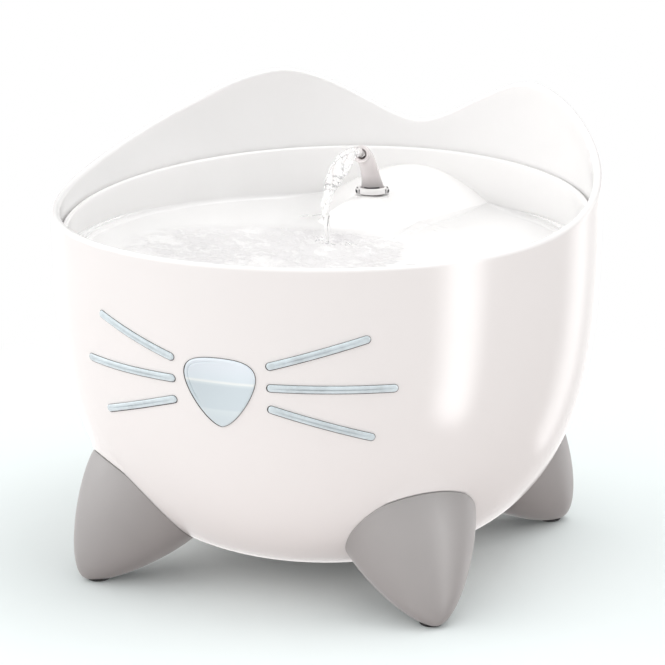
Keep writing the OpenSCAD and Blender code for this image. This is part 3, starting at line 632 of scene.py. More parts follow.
FINISHES = {
    # the outside: glossy mouldings, satin feet, icy windows with small sparks inside, and rubber with dust
    "shell": (moulded, "glossy_white_shell", "shell", 0.16),
    "dish": (moulded, "glossy_white_dish", "dish", 0.12),
    "collar": (moulded, "white_collar", (0.84, 0.83, 0.825), 0.16, 1600.0),
    "spout": (pale_spout,),
    "foot": (grainy, "satin_grey_foot", "foot", 0.42, ((14, 4, 0.6), (0.96, 1.0, 1.04)),
        ((60, 4, 0.6), (0.36, 0.5)), ((2600, 3, 0.6), (0.00003, 0.6)), {"IOR": 1.5}),
    "window": (icy_window,),
    "whisker": (grainy, "icy_whisker", "window", 0.08, ((160, 4, 0.65), (0.86, 1.0, 1.1)), None,
        ((300, 2, 0.5), (0.00006, 0.3)), {"IOR": 1.49, "Coat Weight": 0.6, "Coat Roughness": 0.03}),
    "seal": (grainy, "dark_rubber", "seal", 0.55, ((80, 4, 0.6), (0.8, 1.0, 1.5)),
        ((220, 3, 0.6), (0.45, 0.7)), ((1800, 2, 0.6), (0.00003, 0.5)), {"IOR": 1.52}),
    "grey_seal": (grainy, "grey_rubber", (0.35, 0.35, 0.35), 0.5, ((90, 4, 0.6), (0.9, 1.0, 1.1)), None,
        ((1500, 2, 0.6), (0.00003, 0.5)), {"IOR": 1.52}),
    "water": (water_finish,),
    "falling": (falling_finish,),
    # the pump: its plastics, the resin that seals it, and a shaft with the marks of grinding round it
    "pump": (grainy, "pump_plastic", (0.70, 0.70, 0.69), 0.4, ((25, 4, 0.6), (0.95, 1.0, 1.03)),
        ((90, 4, 0.6), (0.32, 0.5)), ((1900, 3, 0.6), (0.00003, 0.5)), {"IOR": 1.5}),
    "potting": (grainy, "potting_resin", (0.012, 0.012, 0.013), 0.25, ((40, 5, 0.6), (0.7, 1.0, 1.8)), None,
        ((120, 3, 0.5), (0.0002, 0.4)), {"IOR": 1.55}),
    "ceramic": (grainy, "ground_ceramic", (0.82, 0.78, 0.70), 0.18, ((60, 3, 0.5), (0.94, 1.0, 1.04)), None,
        ((900, 2, 0.5, (1, 12, 1)), (0.00002, 0.4)), {"IOR": 1.7}),
    "ferrite": (grainy, "moulded_ferrite", (0.045, 0.045, 0.048), 0.5, ((500, 4, 0.7), (0.7, 1.0, 1.6)), None,
        ((1400, 3, 0.6), (0.00004, 0.6)), {"Metallic": 0.35}),
    "blade": (grainy, "blade_plastic", (0.03, 0.10, 0.42), 0.32, ((60, 4, 0.6), (0.9, 1.0, 1.12)), None,
        ((1500, 2, 0.6), (0.00003, 0.5)), {"IOR": 1.5}),
    "clear": (grainy, "clear_plastic", (0.93, 0.95, 0.96), 0.06, None, ((50, 4, 0.6), (0.03, 0.12)),
        ((400, 2, 0.5), (0.00004, 0.3)), {"IOR": 1.49, "Transmission Weight": 0.85}),
    "board": (board_green,),
    # the filter: its plastics, open-cell foam, carbon granules and amber beads of exchange resin
    "hood": (grainy, "hood_plastic", (0.60, 0.61, 0.62), 0.38, ((20, 4, 0.6), (0.95, 1.0, 1.03)),
        ((70, 4, 0.6), (0.3, 0.46)), ((2100, 3, 0.6), (0.00003, 0.5)), {"IOR": 1.5}),
    "cartridge": (grainy, "cartridge_plastic", (0.80, 0.80, 0.79), 0.35, ((30, 4, 0.6), (0.96, 1.0, 1.02)),
        None, ((2000, 3, 0.6), (0.00003, 0.4)), {"IOR": 1.5}),
    "foam": (granular, "open_foam", (0.16, 0.18, 0.19), 0.95, 900, (0.35, 1.0, 1.5), (0.0006, 0.9), {}),
    "carbon": (granular, "carbon_granules", (0.012, 0.012, 0.012), 0.5, 700, (1.8, 1.0, 0.4), (0.0007, 1.0),
        {"Specular IOR Level": 0.7}),
    "resin": (granular, "resin_beads", (0.50, 0.30, 0.09), 0.35, 1300, (1.25, 1.0, 0.5), (0.0004, 0.9),
        {"Subsurface Weight": 0.1, "Subsurface Scale": 0.001}),
    # the foot screws, in zinc-plated steel
    "zinc": (grainy, "zinc_plate", (0.62, 0.63, 0.64), 0.3, ((300, 4, 0.6), (0.85, 1.0, 1.1)),
        ((500, 3, 0.6), (0.22, 0.42)), None, {"Metallic": 1.0}),
}


# ---------------------------------------------------------------- bowl and feet

# A foot: lean from upright in degrees, middle of its wide end as radius and height, and the cone's sizes
FOOT_LEAN = 40.7
FOOT_ROOT = (81.7, 36.4)
FOOT_RADIUS = 28.4
FOOT_LENGTH = 45.8
FOOT_ANGLES = {"foot_front_left": -45.0, "foot_front_right": 45.0, "foot_rear_left": -130.6,
    "foot_rear_right": 130.6}
# A hip: how far it reaches into the bowl from the foot, and how much it widens on the way
HIP_LENGTH = 12.0
HIP_SLOPE = 1.25
# Where the foot's screw and its pad's stem stand, from the bowl's axis
SCREW_OUT = 90
PAD_OUT = 104.6
# Where a drawn curve of the bowl's section hands over to plain steps in height
SHELL_SPLIT = 120.0
SOLID_SPLIT = 130.0
# Nose window: half its width, and the heights of its top and its tip
NOSE_HALF, NOSE_TOP, NOSE_TIP = 15.3, 113.2, 84.4
# Whisker windows: angle from the middle of the face and height, of the inner end and of the outer end
WHISKERS = {
    "upper": (9.65, 110.7, 30.45, 122.65),
    "middle": (9.7, 102.3, 36.0, 101.85),
    "lower": (9.87, 93.9, 31.3, 81.4),
}
# Ledges that carry the dish: section as radius and height, the angles where they start, and their spread
LEDGE = [(105.5, 114.6), (105.5, 113), (109.8, 105.6), (111.8, 105.6), (111.8, 114.6)]
LEDGE_STARTS = (50, 102, 212, 264)
LEDGE_SPREAD = 46
CABLE_HEIGHT = 106.1
CABLE_RADIUS = 5
# Distances from the axis between which the tools that cut the wall reach
CUT_FROM, CUT_TO = 90, 140


def foot_frame(azimuth):
    """A foot's own frame: +Z down along the foot from its wide end"""
    return (Matrix.Rotation(math.radians(azimuth - 90), 4, "Z")
        @ Matrix.Translation((FOOT_ROOT[0], 0, FOOT_ROOT[1]))
        @ Matrix.Rotation(math.radians(180 - FOOT_LEAN), 4, "Y"))


def upright_frame(azimuth, r):
    """An upright frame at a distance from the bowl's axis"""
    return Matrix.Rotation(math.radians(azimuth - 90), 4, "Z") @ Matrix.Translation((r, 0, 0))


def bowl_solid(name, grow):
    """Closed solid inside the bowl's outer surface grown by an amount, and on upwards past the ears"""
    radius, low = grown_bowl(grow)
    top = 260.0
    profile = [(0, low)] + bowl_section(radius, low, SOLID_SPLIT, 60)
    profile += [(bowl_radius_at(z, radius, low), z)
        for z in np.linspace(SOLID_SPLIT, mm(sizes().shoulder), 16)[1:]]
    return lathe(name, profile + [(radius, top), (0, top)], 192)


def rounded_outline(half_w, y_low, y_high, r):
    """Oblong with round corners, the same to both sides of the middle"""
    out = []
    corners = [(half_w - r, y_low + r, -90), (half_w - r, y_high - r, 0), (-half_w + r, y_high - r, 90),
        (-half_w + r, y_low + r, 180)]
    for x, y, start in corners:
        for k in range(11):
            a = math.radians(start + 90 * k / 10)
            out.append((x + r * math.cos(a), y + r * math.sin(a)))
    return out


def nose_outline(grow=0.0):
    """Outline of the nose window as (x, z), grown by an amount"""
    w, top, tip = NOSE_HALF + grow, NOSE_TOP + grow, NOSE_TIP - grow
    side = tip + 21.2
    half = list(bezier([(0, top), (0.55 * w, top), (w, top - 1.2), (w, side)], 24))
    half += list(bezier([(w, side), (w, side - 7), (0.36 * w, tip + 0.4), (0, tip)], 28))[1:]
    return [(p[0], p[1]) for p in half] + [(-p[0], p[1]) for p in half[-2:0:-1]]


def whisker_frame(ends, side):
    """Flat frame square to the wall: +X along the whisker, +Z outward, and its straight length"""
    middle = (ends[0] + ends[2]) / 2
    reach = mm(sizes().bowl_radius) - 2.5
    start = Vector((-reach * math.sin(math.radians(middle - ends[0])), ends[1]))
    end = Vector((reach * math.sin(math.radians(ends[2] - middle)), ends[3]))
    run = (end - start).length
    rise = math.atan2(end.y - start.y, end.x - start.x)
    place = (Matrix.Rotation(math.radians(middle), 4, "Z") @ Matrix.Rotation(math.radians(90), 4, "X")
        @ Matrix.Translation((start.x, start.y, 0)) @ Matrix.Rotation(rise, 4, "Z"))
    if side < 0:
        place = Matrix.Scale(-1, 4, (1, 0, 0)) @ place
    return place, run


def stadium(run, half, bend=14, straight=1):
    """Round-ended outline along +X from 0 to run, with the same number of points for every width"""
    width = mm(sizes().whisker) / 2
    out = []
    for x, other, start in ((run - width, width, -90), (width, run - width, 90)):
        for k in range(bend + 1):
            a = math.radians(start + 180 * k / bend)
            out.append((x + half * math.cos(a), half * math.sin(a)))
        edge = half if start < 0 else -half
        out += [(x + (other - x) * k / straight, edge) for k in range(1, straight)]
    return out


def eared_shell():
    """The bowl's shell with its eared rim, before anything is set on it or cut from it"""
    s = sizes()
    outer_r, low = grown_bowl(0)
    wall, lip = mm(s.wall), mm(s.lip) / 2
    inner_r, inner_low = outer_r - wall, low + wall
    outer = bowl_section(outer_r, low, SHELL_SPLIT, 76)
    inner = bowl_section(inner_r, inner_low, SHELL_SPLIT, 56)[::-1]
    fade_height = 12
    columns = []
    for k in range(s.segments):
        base = rim_height(2 * math.pi * k / s.segments) - lip
        column = list(outer)
        column += [(bowl_radius_at(z, outer_r, low), z) for z in np.linspace(SHELL_SPLIT, base, 25)[1:-1]]
        rim_r = bowl_radius_at(base, outer_r, low) - lip
        column += [(rim_r + lip * math.cos(a), base + lip * math.sin(a)) for a in np.linspace(0, math.pi, 15)]
        step_in = rim_r - lip - bowl_radius_at(base, inner_r, inner_low)
        for z in base + (SHELL_SPLIT - base) * np.linspace(0, 1, 19)[1:-1] ** 1.5:
            fade = max(0.0, 1 - (base - z) / fade_height)
            column.append((bowl_radius_at(z, inner_r, inner_low) + step_in * fade * fade * (3 - 2 * fade), z))
        columns.append(column + inner)
    verts, faces = grid_of_rings(rings_across(columns), (0, 0, low), (0, 0, inner_low))
    return make("reservoir_shell", verts, faces)


def bowl_openings():
    """Tools that cut the openings of the face and of the pump's cable"""
    to_face = Matrix.Rotation(math.radians(90), 4, "X")
    holes = [prism("hole", nose_outline(), CUT_FROM, CUT_TO, to_face)]
    for ends in WHISKERS.values():
        for side in (-1, 1):
            place, run = whisker_frame(ends, side)
            holes.append(prism("hole", stadium(run, mm(sizes().whisker) / 2), CUT_FROM, CUT_TO, place))
    to_back = Matrix.Translation((0, 0, CABLE_HEIGHT)) @ Matrix.Rotation(math.radians(-90), 4, "X")
    bore = [(0, CUT_FROM), (CABLE_RADIUS, CUT_FROM), (CABLE_RADIUS, CUT_TO), (0, CUT_TO)]
    return holes + [lathe("hole", bore, 64, to_back)]


def build_bowl():
    """The bowl: its shell with what stands on it, and the openings cut in it"""
    wall = mm(sizes().wall)
    bowl = eared_shell()
    # hips that the feet sit on
    hip_r = FOOT_RADIUS + 0.3
    hip = [(0, -HIP_LENGTH), (hip_r + HIP_SLOPE * HIP_LENGTH, -HIP_LENGTH),
        (hip_r + HIP_SLOPE * 0.3, -0.3), (hip_r - 0.1, 0), (0, 0)]
    hips = join([lathe("hip", hip, 128, foot_frame(a)) for a in FOOT_ANGLES.values()])
    combine(bowl, combine(hips, bowl_solid("inside", -wall + 0.7), "DIFFERENCE"), "UNION")
    # bosses for the foot screws, a plinth for the pump and ledges for the dish
    boss = [(0, 20.7), (4, 20.7), (4, 44), (0, 44)]
    bosses = join([lathe("boss", boss, 48, upright_frame(a, SCREW_OUT)) for a in FOOT_ANGLES.values()])
    combine(bowl, combine(bosses, bowl_solid("inside", -wall + 0.5), "DIFFERENCE"), "UNION")
    plinth = prism("plinth", rounded_outline(29, -6, 67, 17), -5, 22, Matrix())
    combine(bowl, combine(plinth, bowl_solid("core", -1.3), "INTERSECT"), "UNION")
    ledges = []
    for start in LEDGE_STARTS:
        turn = [math.radians(start - 90 + LEDGE_SPREAD * i / 40) for i in range(41)]
        ledges.append(bent_bar("ledge", LEDGE, turn))
    combine(bowl, join(ledges), "UNION")
    combine(bowl, join(bowl_openings()), "DIFFERENCE")
    settle(bowl, "shell", "base", "white_shell", "reservoir_bowl")


def build_feet():
    """The four feet, which are one shape turned about the bowl's axis, and the finish of what is in them"""
    wide, long = FOOT_RADIUS, FOOT_LENGTH
    profile = [(0, 0.2), (wide - 0.8, 0.2), (wide - 0.4, 0.32), (wide - 0.2, 0.7)]
    curve = bezier([(wide, 0.0), (0.9225 * wide, 0.354 * long), (0.321 * wide, long), (0, long)], 64)
    profile += [(p[0], p[1]) for p in curve[3:-1]] + [(0, long)]
    # bores for the pad's stem and for the screw with its head
    stem = [(0, -5), (3.05, -5), (3.05, 8.5), (0, 8.5)]
    access = [(0, -5), (3.4, -5), (3.4, 18), (1.7, 18), (1.7, 20.5), (4.2, 20.5), (4.2, 60), (0, 60)]
    foot = lathe("foot", profile, 160, foot_frame(90))
    for tool in (bowl_solid("outside", 0.18), block("floor", (-200, -200, -30), (200, 200, 0.9)),
            lathe("stem", stem, 48, upright_frame(90, PAD_OUT)),
            lathe("access", access, 48, upright_frame(90, SCREW_OUT))):
        combine(foot, tool, "DIFFERENCE")
    for name, azimuth in FOOT_ANGLES.items():
        mesh = foot.data.copy()
        mesh.transform(Matrix.Rotation(math.radians(azimuth - 90), 4, "Z"))
        settle(add_object(name + "_shell", mesh), "foot", "base", "grey_foot", name)
    bpy.data.objects.remove(foot)
    paint_nodes("seal", "pad_front_left", "pad_front_right", "pad_rear_left", "pad_rear_right")
    paint_nodes("zinc", "foot_screws")
    paint_nodes("grey_seal", "cable_grommet")


# ---------------------------------------------------------------- face windows

# How deep a window's body and its seal stand in the wall, and how far the seal keeps off the opening
PANE_DEPTH = -2.6
SEAL_DEPTH = -1.0
SEAL_PLAY = 0.03
# Profile of a window's edge: distance inwards and height, as a share of how far it stands proud
NOSE_EDGE = [(0.0, 0.0), (0.05, 0.3), (0.14, 0.55), (0.3, 0.78), (0.55, 0.92), (0.9, 1.0)]
# The fine groove inside the edge; it fades out towards the lower right
NOSE_GROOVE = [(1.5, 1.0), (1.62, 0.92), (1.72, 0.72), (1.82, 0.92), (1.94, 1.0)]
NOSE_MIDDLE = 101.6
NOSE_ROWS = 22
# The same for a whisker, with its height in millimetres
WHISKER_EDGE = [(0.0, 0.05), (0.03, 0.35), (0.1, 0.6), (0.25, 0.78), (0.5, 0.86), (0.9, 0.9), (1.25, 0.9)]


def surface_y(x, z, grow):
    """Front of the bowl's outer surface, grown by an amount, at x and z"""
    r = bowl_radius_at(z, *grown_bowl(grow))
    return -math.sqrt(max(r * r - x * x, 0.0))


def on_wall(place, x, y, grow):
    """Point of a flat frame pushed straight out to the bowl's surface, grown by an amount"""
    turned = place @ Vector((x, y, 0))
    out = (place.to_3x3() @ Vector((0, 0, 1))).normalized()
    r = bowl_radius_at(turned.z, *grown_bowl(grow))
    b = turned.x * out.x + turned.y * out.y
    c = turned.x ** 2 + turned.y ** 2 - r * r
    return turned + out * (-b + math.sqrt(b * b - c))


def inset(outline, width):
    """Outline moved inwards by a width, or at each point by what width says of the outward direction"""
    count = len(outline)
    out = []
    for i, (x, z) in enumerate(outline):
        a, b = outline[i - 1], outline[(i + 1) % count]
        run = math.hypot(b[0] - a[0], b[1] - a[1])
        nx, nz = (b[1] - a[1]) / run, -(b[0] - a[0]) / run
        w = width(nx, nz) if callable(width) else width
        out.append((x - nx * w, z - nz * w))
    return out


def strip(start, count):
    """Faces across a narrow ring, from each point to the one opposite"""
    i, j = 0, count - 1
    out = []
    while j - i > 1:
        if j - i == 2:
            out.append((start + i, start + i + 1, start + j))
        else:
            out.append((start + i, start + i + 1, start + j - 1, start + j))
        i, j = i + 1, j - 1
    return out


def seal_and_shadow_width(nx, nz):
    """Visible width of the nose's dark seal: widest at the left and below, where the extra width is painted
    shadow of the gap
    """
    left = max(0.0, -0.95 * nx - 0.3 * nz)
    return 0.08 + 0.36 * min(1.0, left * 1.2) ** 1.5


def add_seal(name, outer, edge, rise, place):
    """Thin rubber seal between an opening and its window, out to an edge that the caller widens into painted
    shadow at the left and below; place puts a flat point at a height
    """
    rings = []
    for outline, height in ((outer, SEAL_DEPTH), (outer, rise[0]), (edge, rise[1]), (edge, SEAL_DEPTH)):
        rings.append([place(x, y, height) for x, y in outline])
    verts, faces = grid_of_rings(rings, closed=True)
    settle(make(name, verts, faces), "seal", "base", "black_rubber")


def build_nose():
    """The nose window, a lens that follows the wall, and its seal"""
    proud = mm(sizes().proud)
    outer = nose_outline(-SEAL_PLAY)[::-1]
    # painted shadow: the dark seal is wider at the left and below
    edge = inset(outer, seal_and_shadow_width)

    def on_front(x, z, grow):
        return x, surface_y(x, z, grow), z

    rings = [(inset(edge, away), height) for away, height in NOSE_EDGE + NOSE_GROOVE]
    last = rings[-1][0]
    for i in range(1, NOSE_ROWS):
        k = 1 - i / NOSE_ROWS
        rings.append(([(x * k, NOSE_MIDDLE + (z - NOSE_MIDDLE) * k) for x, z in last], 1.0))
    solid = [[on_front(x, z, PANE_DEPTH) for x, z in edge]]
    for i, (ring, height) in enumerate(rings):
        row = []
        for x, z in ring:
            lift = height
            if i >= len(NOSE_EDGE) and height <= 0.99:
                fade = min(1.0, max(0.0, (-x + 0.5 * (z - NOSE_MIDDLE)) / 9 - 0.15))
                lift = 1.0 - (1.0 - height) * fade
            row.append(on_front(x, z, proud * lift))
        solid.append(row)
    poles = [on_front(0.0, NOSE_MIDDLE, grow) for grow in (PANE_DEPTH, proud)]
    verts, faces = grid_of_rings(solid, *poles)
    settle(make("nose_pane", verts, faces, 40), "window", "base", "icy_window", "nose_window")
    add_seal("nose_seal", outer, edge, (0.25, 0.3), on_front)


def build_whisker(row, word, side):
    """A whisker window and its seal"""
    place, run = whisker_frame(WHISKERS[row], side)
    half = mm(sizes().whisker) / 2
    outer = stadium(run, half - SEAL_PLAY, 12, max(4, int((run - 2 * half) / 1.2)))

    def seal_and_shadow(nx, ny):
        """Visible width of the dark seal: widest below and at the left, where the extra width is painted
        shadow of the gap
        """
        return 0.06 + 0.2 * max(0.0, -ny) + 0.3 * max(0.0, -side * nx) ** 2

    def at(x, y, grow):
        return on_wall(place, x, y, grow)

    # painted shadow: the dark seal is wider below and at the left
    edge = inset(outer, seal_and_shadow)
    rings = [[at(x, y, PANE_DEPTH) for x, y in inset(edge, 1.25)], [at(x, y, PANE_DEPTH) for x, y in edge]]
    rings += [[at(x, y, height) for x, y in inset(edge, away)] for away, height in WHISKER_EDGE]
    verts, faces = grid_of_rings(rings)
    count = len(outer)
    faces += strip(0, count) + strip((len(rings) - 1) * count, count)
    pane = make(f"whisker_pane_{row}_{word}", verts, faces, 40)
    settle(pane, "whisker", "base", "icy_window", f"whisker_{row}_{word}")
    add_seal(f"whisker_seal_{row}_{word}", outer, edge, (0.2, 0.24), at)


def build_windows():
    build_nose()
    for row in WHISKERS:
        for side, word in ((-1, "left"), (1, "right")):
            build_whisker(row, word, side)


# ---------------------------------------------------------------- dish, spout and water

# Play between the dish and the bowl's wall, the dish's thickness and the radius of its coved corner
DISH_GAP = 0.7
DISH_THICK = 2.4
COVE = 7
# Outside of the dish: where it draws in, and the radius and height of the foot that stands on the ledges
DRAW_IN = 127.6
REST_RADIUS, REST_HEIGHT = 104.5, 114.6
# Hill: its heights at the spout and at the back, how far before the spout it starts and has risen,
# half its width and how much wider it gets towards the back
HILL_AT_SPOUT, HILL_AT_BACK = 145.4, 148.5
HILL_START, HILL_RISEN = 40, 9
HILL_HALF, HILL_WIDER = 42.0, 33.0
# How far the hill's plain surroundings lie under the dish floor, and how softly the two meet
HILL_SUNK = 0.6
HILL_BLEND = 3.0
# Drain slots at the front: their number, and the angle from one to the next
SLOT_COUNT = 9
SLOT_TURN = 9
# Bore of the spout, section of the ring round its foot, and the middles of the ring's two clips in degrees
SPOUT_BORE = 2.2
RING = [(5.1, 145.6), (6.7, 145.6), (6.75, 146.4), (6.6, 147.2), (6.2, 147.9), (5.75, 148.15), (5.3, 148.0),
    (5.1, 147.6)]
CLIPS = (112, -68)


def dish_radius():
    """Outer radius of the dish, inside the bowl's wall"""
    return mm(sizes().bowl_radius) - mm(sizes().wall) - DISH_GAP


def hill_height(x, y):
    """Height of the hill behind the spout over the dish floor"""
    floor, spout_y = mm(sizes().dish_floor), mm(sizes().spout_back)
    back = dish_radius()
    start, crown = spout_y - HILL_START, spout_y - HILL_RISEN
    at_spout, at_back = HILL_AT_SPOUT - floor, HILL_AT_BACK - floor
    if y <= start:
        return -HILL_SUNK
    if y < crown:
        rise = at_spout * math.sin(math.pi / 2 * (y - start) / (crown - start)) ** 2
    else:
        rise = at_spout + (at_back - at_spout) * (y - crown) / (back - crown)
    half = HILL_HALF if y < spout_y else HILL_HALF + HILL_WIDER * (y - spout_y) / (back - spout_y)
    if abs(x) >= half:
        return -HILL_SUNK
    return rise * math.cos(math.pi / 2 * x / half) ** 2 - HILL_SUNK


def smooth_max(a, b, k):
    """The higher of two heights, with the step between them rounded off over k"""
    h = max(k - abs(a - b), 0.0) / k
    return max(a, b) + h * h * k / 4


def dish_top(x, y, floor):
    """Height of the dish's upper side where its floor or corner is at a height"""
    return smooth_max(floor, mm(sizes().dish_floor) + hill_height(x, y), HILL_BLEND)


def dish_column(theta):
    """Points (r, z) of the dish's section at an angle: upper side, edge, outside and underside"""
    s = sizes()
    floor, outer_r = mm(s.dish_floor), dish_radius()
    inner_r = outer_r - DISH_THICK
    cx, cy = math.sin(theta), -math.cos(theta)

    def top(r, level):
        return dish_top(r * cx, r * cy, level)

    column = [(r, top(r, floor)) for r in ((inner_r - COVE) * i / 60 for i in range(1, 61))]
    for i in range(1, 11):
        a = math.pi / 2 * i / 10
        r = inner_r - COVE + COVE * math.sin(a)
        column.append((r, top(r, floor + COVE * (1 - math.cos(a)))))
    start = column[-1][1]
    half = DISH_THICK / 2
    base = mm(s.dish_edge) + math.tan(s.dish_tilt) * cy * (inner_r + half) - half
    column += [(inner_r, start + (base - start) * i / 8) for i in range(1, 8)]
    for i in range(11):
        a = math.pi * i / 10
        column.append((inner_r + half - half * math.cos(a), base + half * math.sin(a)))
    column += [(outer_r, base + (DRAW_IN - base) * i / 5) for i in range(1, 6)]
    column += [(outer_r - 4, REST_HEIGHT), (REST_RADIUS, REST_HEIGHT)]
    under = top(REST_RADIUS, floor) - DISH_THICK
    column += [(REST_RADIUS, REST_HEIGHT + (under - 1 - REST_HEIGHT) * i / 4) for i in range(1, 5)]
    for i in range(24, 0, -1):
        r = (REST_RADIUS - 1) * i / 24
        column.append((r, top(r, floor) - DISH_THICK))
    return column


def build_dish():
    """The drinking dish: turned, with its hill, the spout's socket and the drains"""
    s = sizes()
    floor, front = mm(s.dish_floor), -dish_radius()
    rings = rings_across([dish_column(2 * math.pi * k / s.segments) for k in range(s.segments)])
    middle = dish_top(0, 0, floor)
    verts, faces = grid_of_rings(rings, (0, 0, middle), (0, 0, middle - DISH_THICK))
    dish = make("drinking_dish_shell", verts, faces)
    spout_at = Matrix.Translation((0, mm(s.spout_back), 0))
    socket = [(0, 111), (7.0, 111), (7.4, 111.4), (7.4, 144.6), (0, 144.6)]
    combine(dish, lathe("socket", socket, 64, spout_at), "UNION")
    combine(dish, lathe("bore", [(0, 100), (5, 100), (5, 180), (0, 180)], 64, spout_at), "DIFFERENCE")
    middle_slot = (SLOT_COUNT - 1) // 2
    turns = [Matrix.Rotation(math.radians((i - middle_slot) * SLOT_TURN), 4, "Z") for i in range(SLOT_COUNT)]
    # the slots in the corner of the dish, and under each a chute down its outside
    for half, depth, low, high in ((2.5, 10, floor + 2, 133.8), (2.49, 1.4, 109.6, 133.7)):
        cuts = [block("slot", (-half, front - 5, low), (half, front + depth, high), turn) for turn in turns]
        combine(dish, join(cuts), "DIFFERENCE")
    settle(dish, "dish", "dish", "dish_white", "drinking_dish")


def ring_arc(r_in, r_out, z_low, z_high, middle, spread):
    """Rounded bar bent round the spout's axis"""
    steps, corners = 32, 12
    turn = [math.radians(middle - spread + 2 * spread * i / steps - 90) for i in range(steps + 1)]
    r, z = (r_in + r_out) / 2, (z_low + z_high) / 2
    wide, high = (r_out - r_in) / 2, (z_high - z_low) / 2
    bends = [math.tau * k / corners for k in range(corners)]
    section = [(r + wide * math.cos(a), z + high * math.sin(a)) for a in bends]
    return bent_bar("arc", section, turn, mm(sizes().spout_back))


def build_spout():
    """The bent tube with the ring, the clips, and a dark arc at its foot that is painted shade of the slot
    between stem and ring
    """
    y0, mouth = mm(sizes().spout_back), mm(sizes().mouth)
    path, outer, inner = [], [], []

    def add(y, z, r, bore):
        path.append((0, y0 + y, z))
        outer.append(r)
        inner.append(bore)

    for z, r in ((132.4, 4.4), (132.9, 4.9), (137.4, 4.95), (137.5, 4.0), (139.3, 4.0), (139.4, 4.95),
            (146.8, 4.95)):
        add(0, z, r, SPOUT_BORE)
    bend = bezier([(0, 148.0), (-1.8, 153.0), (-5.5, mouth - 3.6), (-12.2, mouth - 0.85)], 26)
    waist = bezier([(4.95, 0), (3.6, 0), (3.75, 0), (3.7, 0)], 26)
    for (y, z), r in zip(bend, waist[:, 0]):
        add(y, z, r, SPOUT_BORE)
    for y, z, r, bore in ((-12.6, -0.7, 3.85, 2.3), (-13.5, -0.45, 3.85, 2.4), (-13.8, -0.35, 3.6, 2.7)):
        add(y, mouth + z, r, bore)
    settle(sweep("spout_tube", path, outer, 64, 32, inner), "spout", "spout", "spout_grey", "spout")
    paint_nodes("seal", "spout_seal")

    collar = lathe("spout_ring", RING, 96, Matrix.Translation((0, y0, 0)))
    settle(collar, "collar", "dish", "spout_grey", "spout_collar")
    clips = join([ring_arc(6.85, 7.2, 145.7, 147.7, middle, 30) for middle in CLIPS])
    clips.name = "spout_ring_clips"
    settle(clips, "collar", "dish", "spout_grey")
    gaps = join([ring_arc(6.6, 6.95, 145.7, 147.5, middle, 32) for middle in CLIPS]
        + [ring_arc(7.1, 7.42, 145.7, 147.1, middle, 24) for middle in CLIPS])
    gaps.name = "spout_ring_gaps"
    settle(gaps, "seal", "dish", "black_rubber")
    # painted shade: a dark rubber arc in front of the stem's foot stands for the shaded slot between the stem
    # and the ring
    slot_shade = ring_arc(3.9, 5.15, 147.9, 148.75, 18, 42)
    slot_shade.name = "spout_wiper"
    settle(slot_shade, "seal", "spout", "black_rubber")


# Middle of the falling water as (y, z), and half its width along its way from 0 to 1
STREAM = [(41.2, 165.0), (37.4, 166.4), (32.4, 167.5), (26.0, 167.2), (19.5, 165.7), (14.5, 163.4),
    (10.2, 160.5), (6.6, 158.4), (3.7, 156.2), (1.2, 153.8), (-0.7, 151.4), (-0.6, 148.4), (0.0, 145.6),
    (0.4, 140.1), (0.6, 133.8)]
STREAM_HALF = [(0.0, 2.4), (0.08, 2.7), (0.2, 3.4), (0.34, 4.6), (0.46, 3.9), (0.56, 2.5), (0.68, 2.2),
    (0.8, 1.7), (1.0, 1.2)]
STRANDS = 3
DROPS = 7
# Back edge of the ruffled patch of the pool as (x, y), and how far the patch reaches to both sides
PATCH_BACK = [(-84, -37), (-80, 0), (-51, 15), (-19, 28), (0, 26), (28, 16), (40, -10)]
PATCH_LEFT, PATCH_RIGHT = 84, 40
POOL_ROWS = 150
# How far the pool's underside goes into the dish, so that no gap shows between them
POOL_SUNK = 0.06


def read_off(curve, at):
    """Value of a curve of (place, value) points at a place"""
    return float(np.interp(at, [q[0] for q in curve], [q[1] for q in curve]))


def ripple_mask(x, y):
    """Where the falling water ruffles the pool: 1 inside the patch and 0 in the calm"""
    wobble = 3.5 * noise.noise(Vector((x * 0.05, y * 0.05, 3.1)))
    back = read_off(PATCH_BACK, x) + wobble
    side = min(1.0, max(0.0, (x + PATCH_LEFT + wobble) / 14), max(0.0, (PATCH_RIGHT - x + wobble) / 16))
    return max(0.0, min(1.0, (back - y) / 7)) * side


def ripple(x, y):
    """Height of the ruffled water, in ripple heights: rings round the stream, chop and fine chop"""
    d = math.hypot(x, y - 1.0)
    waves = math.sin(d * 0.85 + 2.2 * noise.noise(Vector((x * 0.06, y * 0.06, 0)))) * math.exp(-d / 34)
    chop = noise.fractal(Vector((x * 0.10, y * 0.17, 5.0)), 0.8, 2.1, 5)
    fine = noise.turbulence(Vector((x * 0.2, y * 0.32, 1.0)), 4, False)
    return 0.8 * waves + 1.1 * chop + 0.7 * (fine - 0.4)


def build_pool():
    """Water in the dish, from its ruffled top down to the dish's floor"""
    s = sizes()
    floor, level, height = mm(s.dish_floor), mm(s.water), mm(s.ripple)
    inner_r = dish_radius() - DISH_THICK
    rings_top, rings_low = [], []
    for i in range(1, POOL_ROWS + 1):
        r = (inner_r + 0.12) * i / POOL_ROWS
        top, low = [], []
        for k in range(s.segments):
            theta = 2 * math.pi * k / s.segments
            x, y = r * math.sin(theta), -r * math.cos(theta)
            mask = ripple_mask(x, y)
            z = level + (height * mask * ripple(x, y) if mask > 0 else 0.0)
            if r > inner_r - 0.6:
                z = level + (z - level) * 0.3
            top.append((x, y, z))
            over = max(0.0, r - (inner_r - COVE)) / COVE
            bed = dish_top(x, y, floor + COVE * (1 - math.sqrt(max(0.0, 1 - min(over, 1.0) ** 2))))
            low.append((x, y, min(bed, level - 1.0) - POOL_SUNK))
        rings_top.append(top)
        rings_low.append(low)
    rings = rings_top + rings_low[::-5]
    verts, faces = grid_of_rings(rings, (0, 0, level + height * ripple(0, 0)), (0, 0, floor - POOL_SUNK))
    settle(make("pool_water", verts, faces, 180), "water", "dish", "clear_tube")


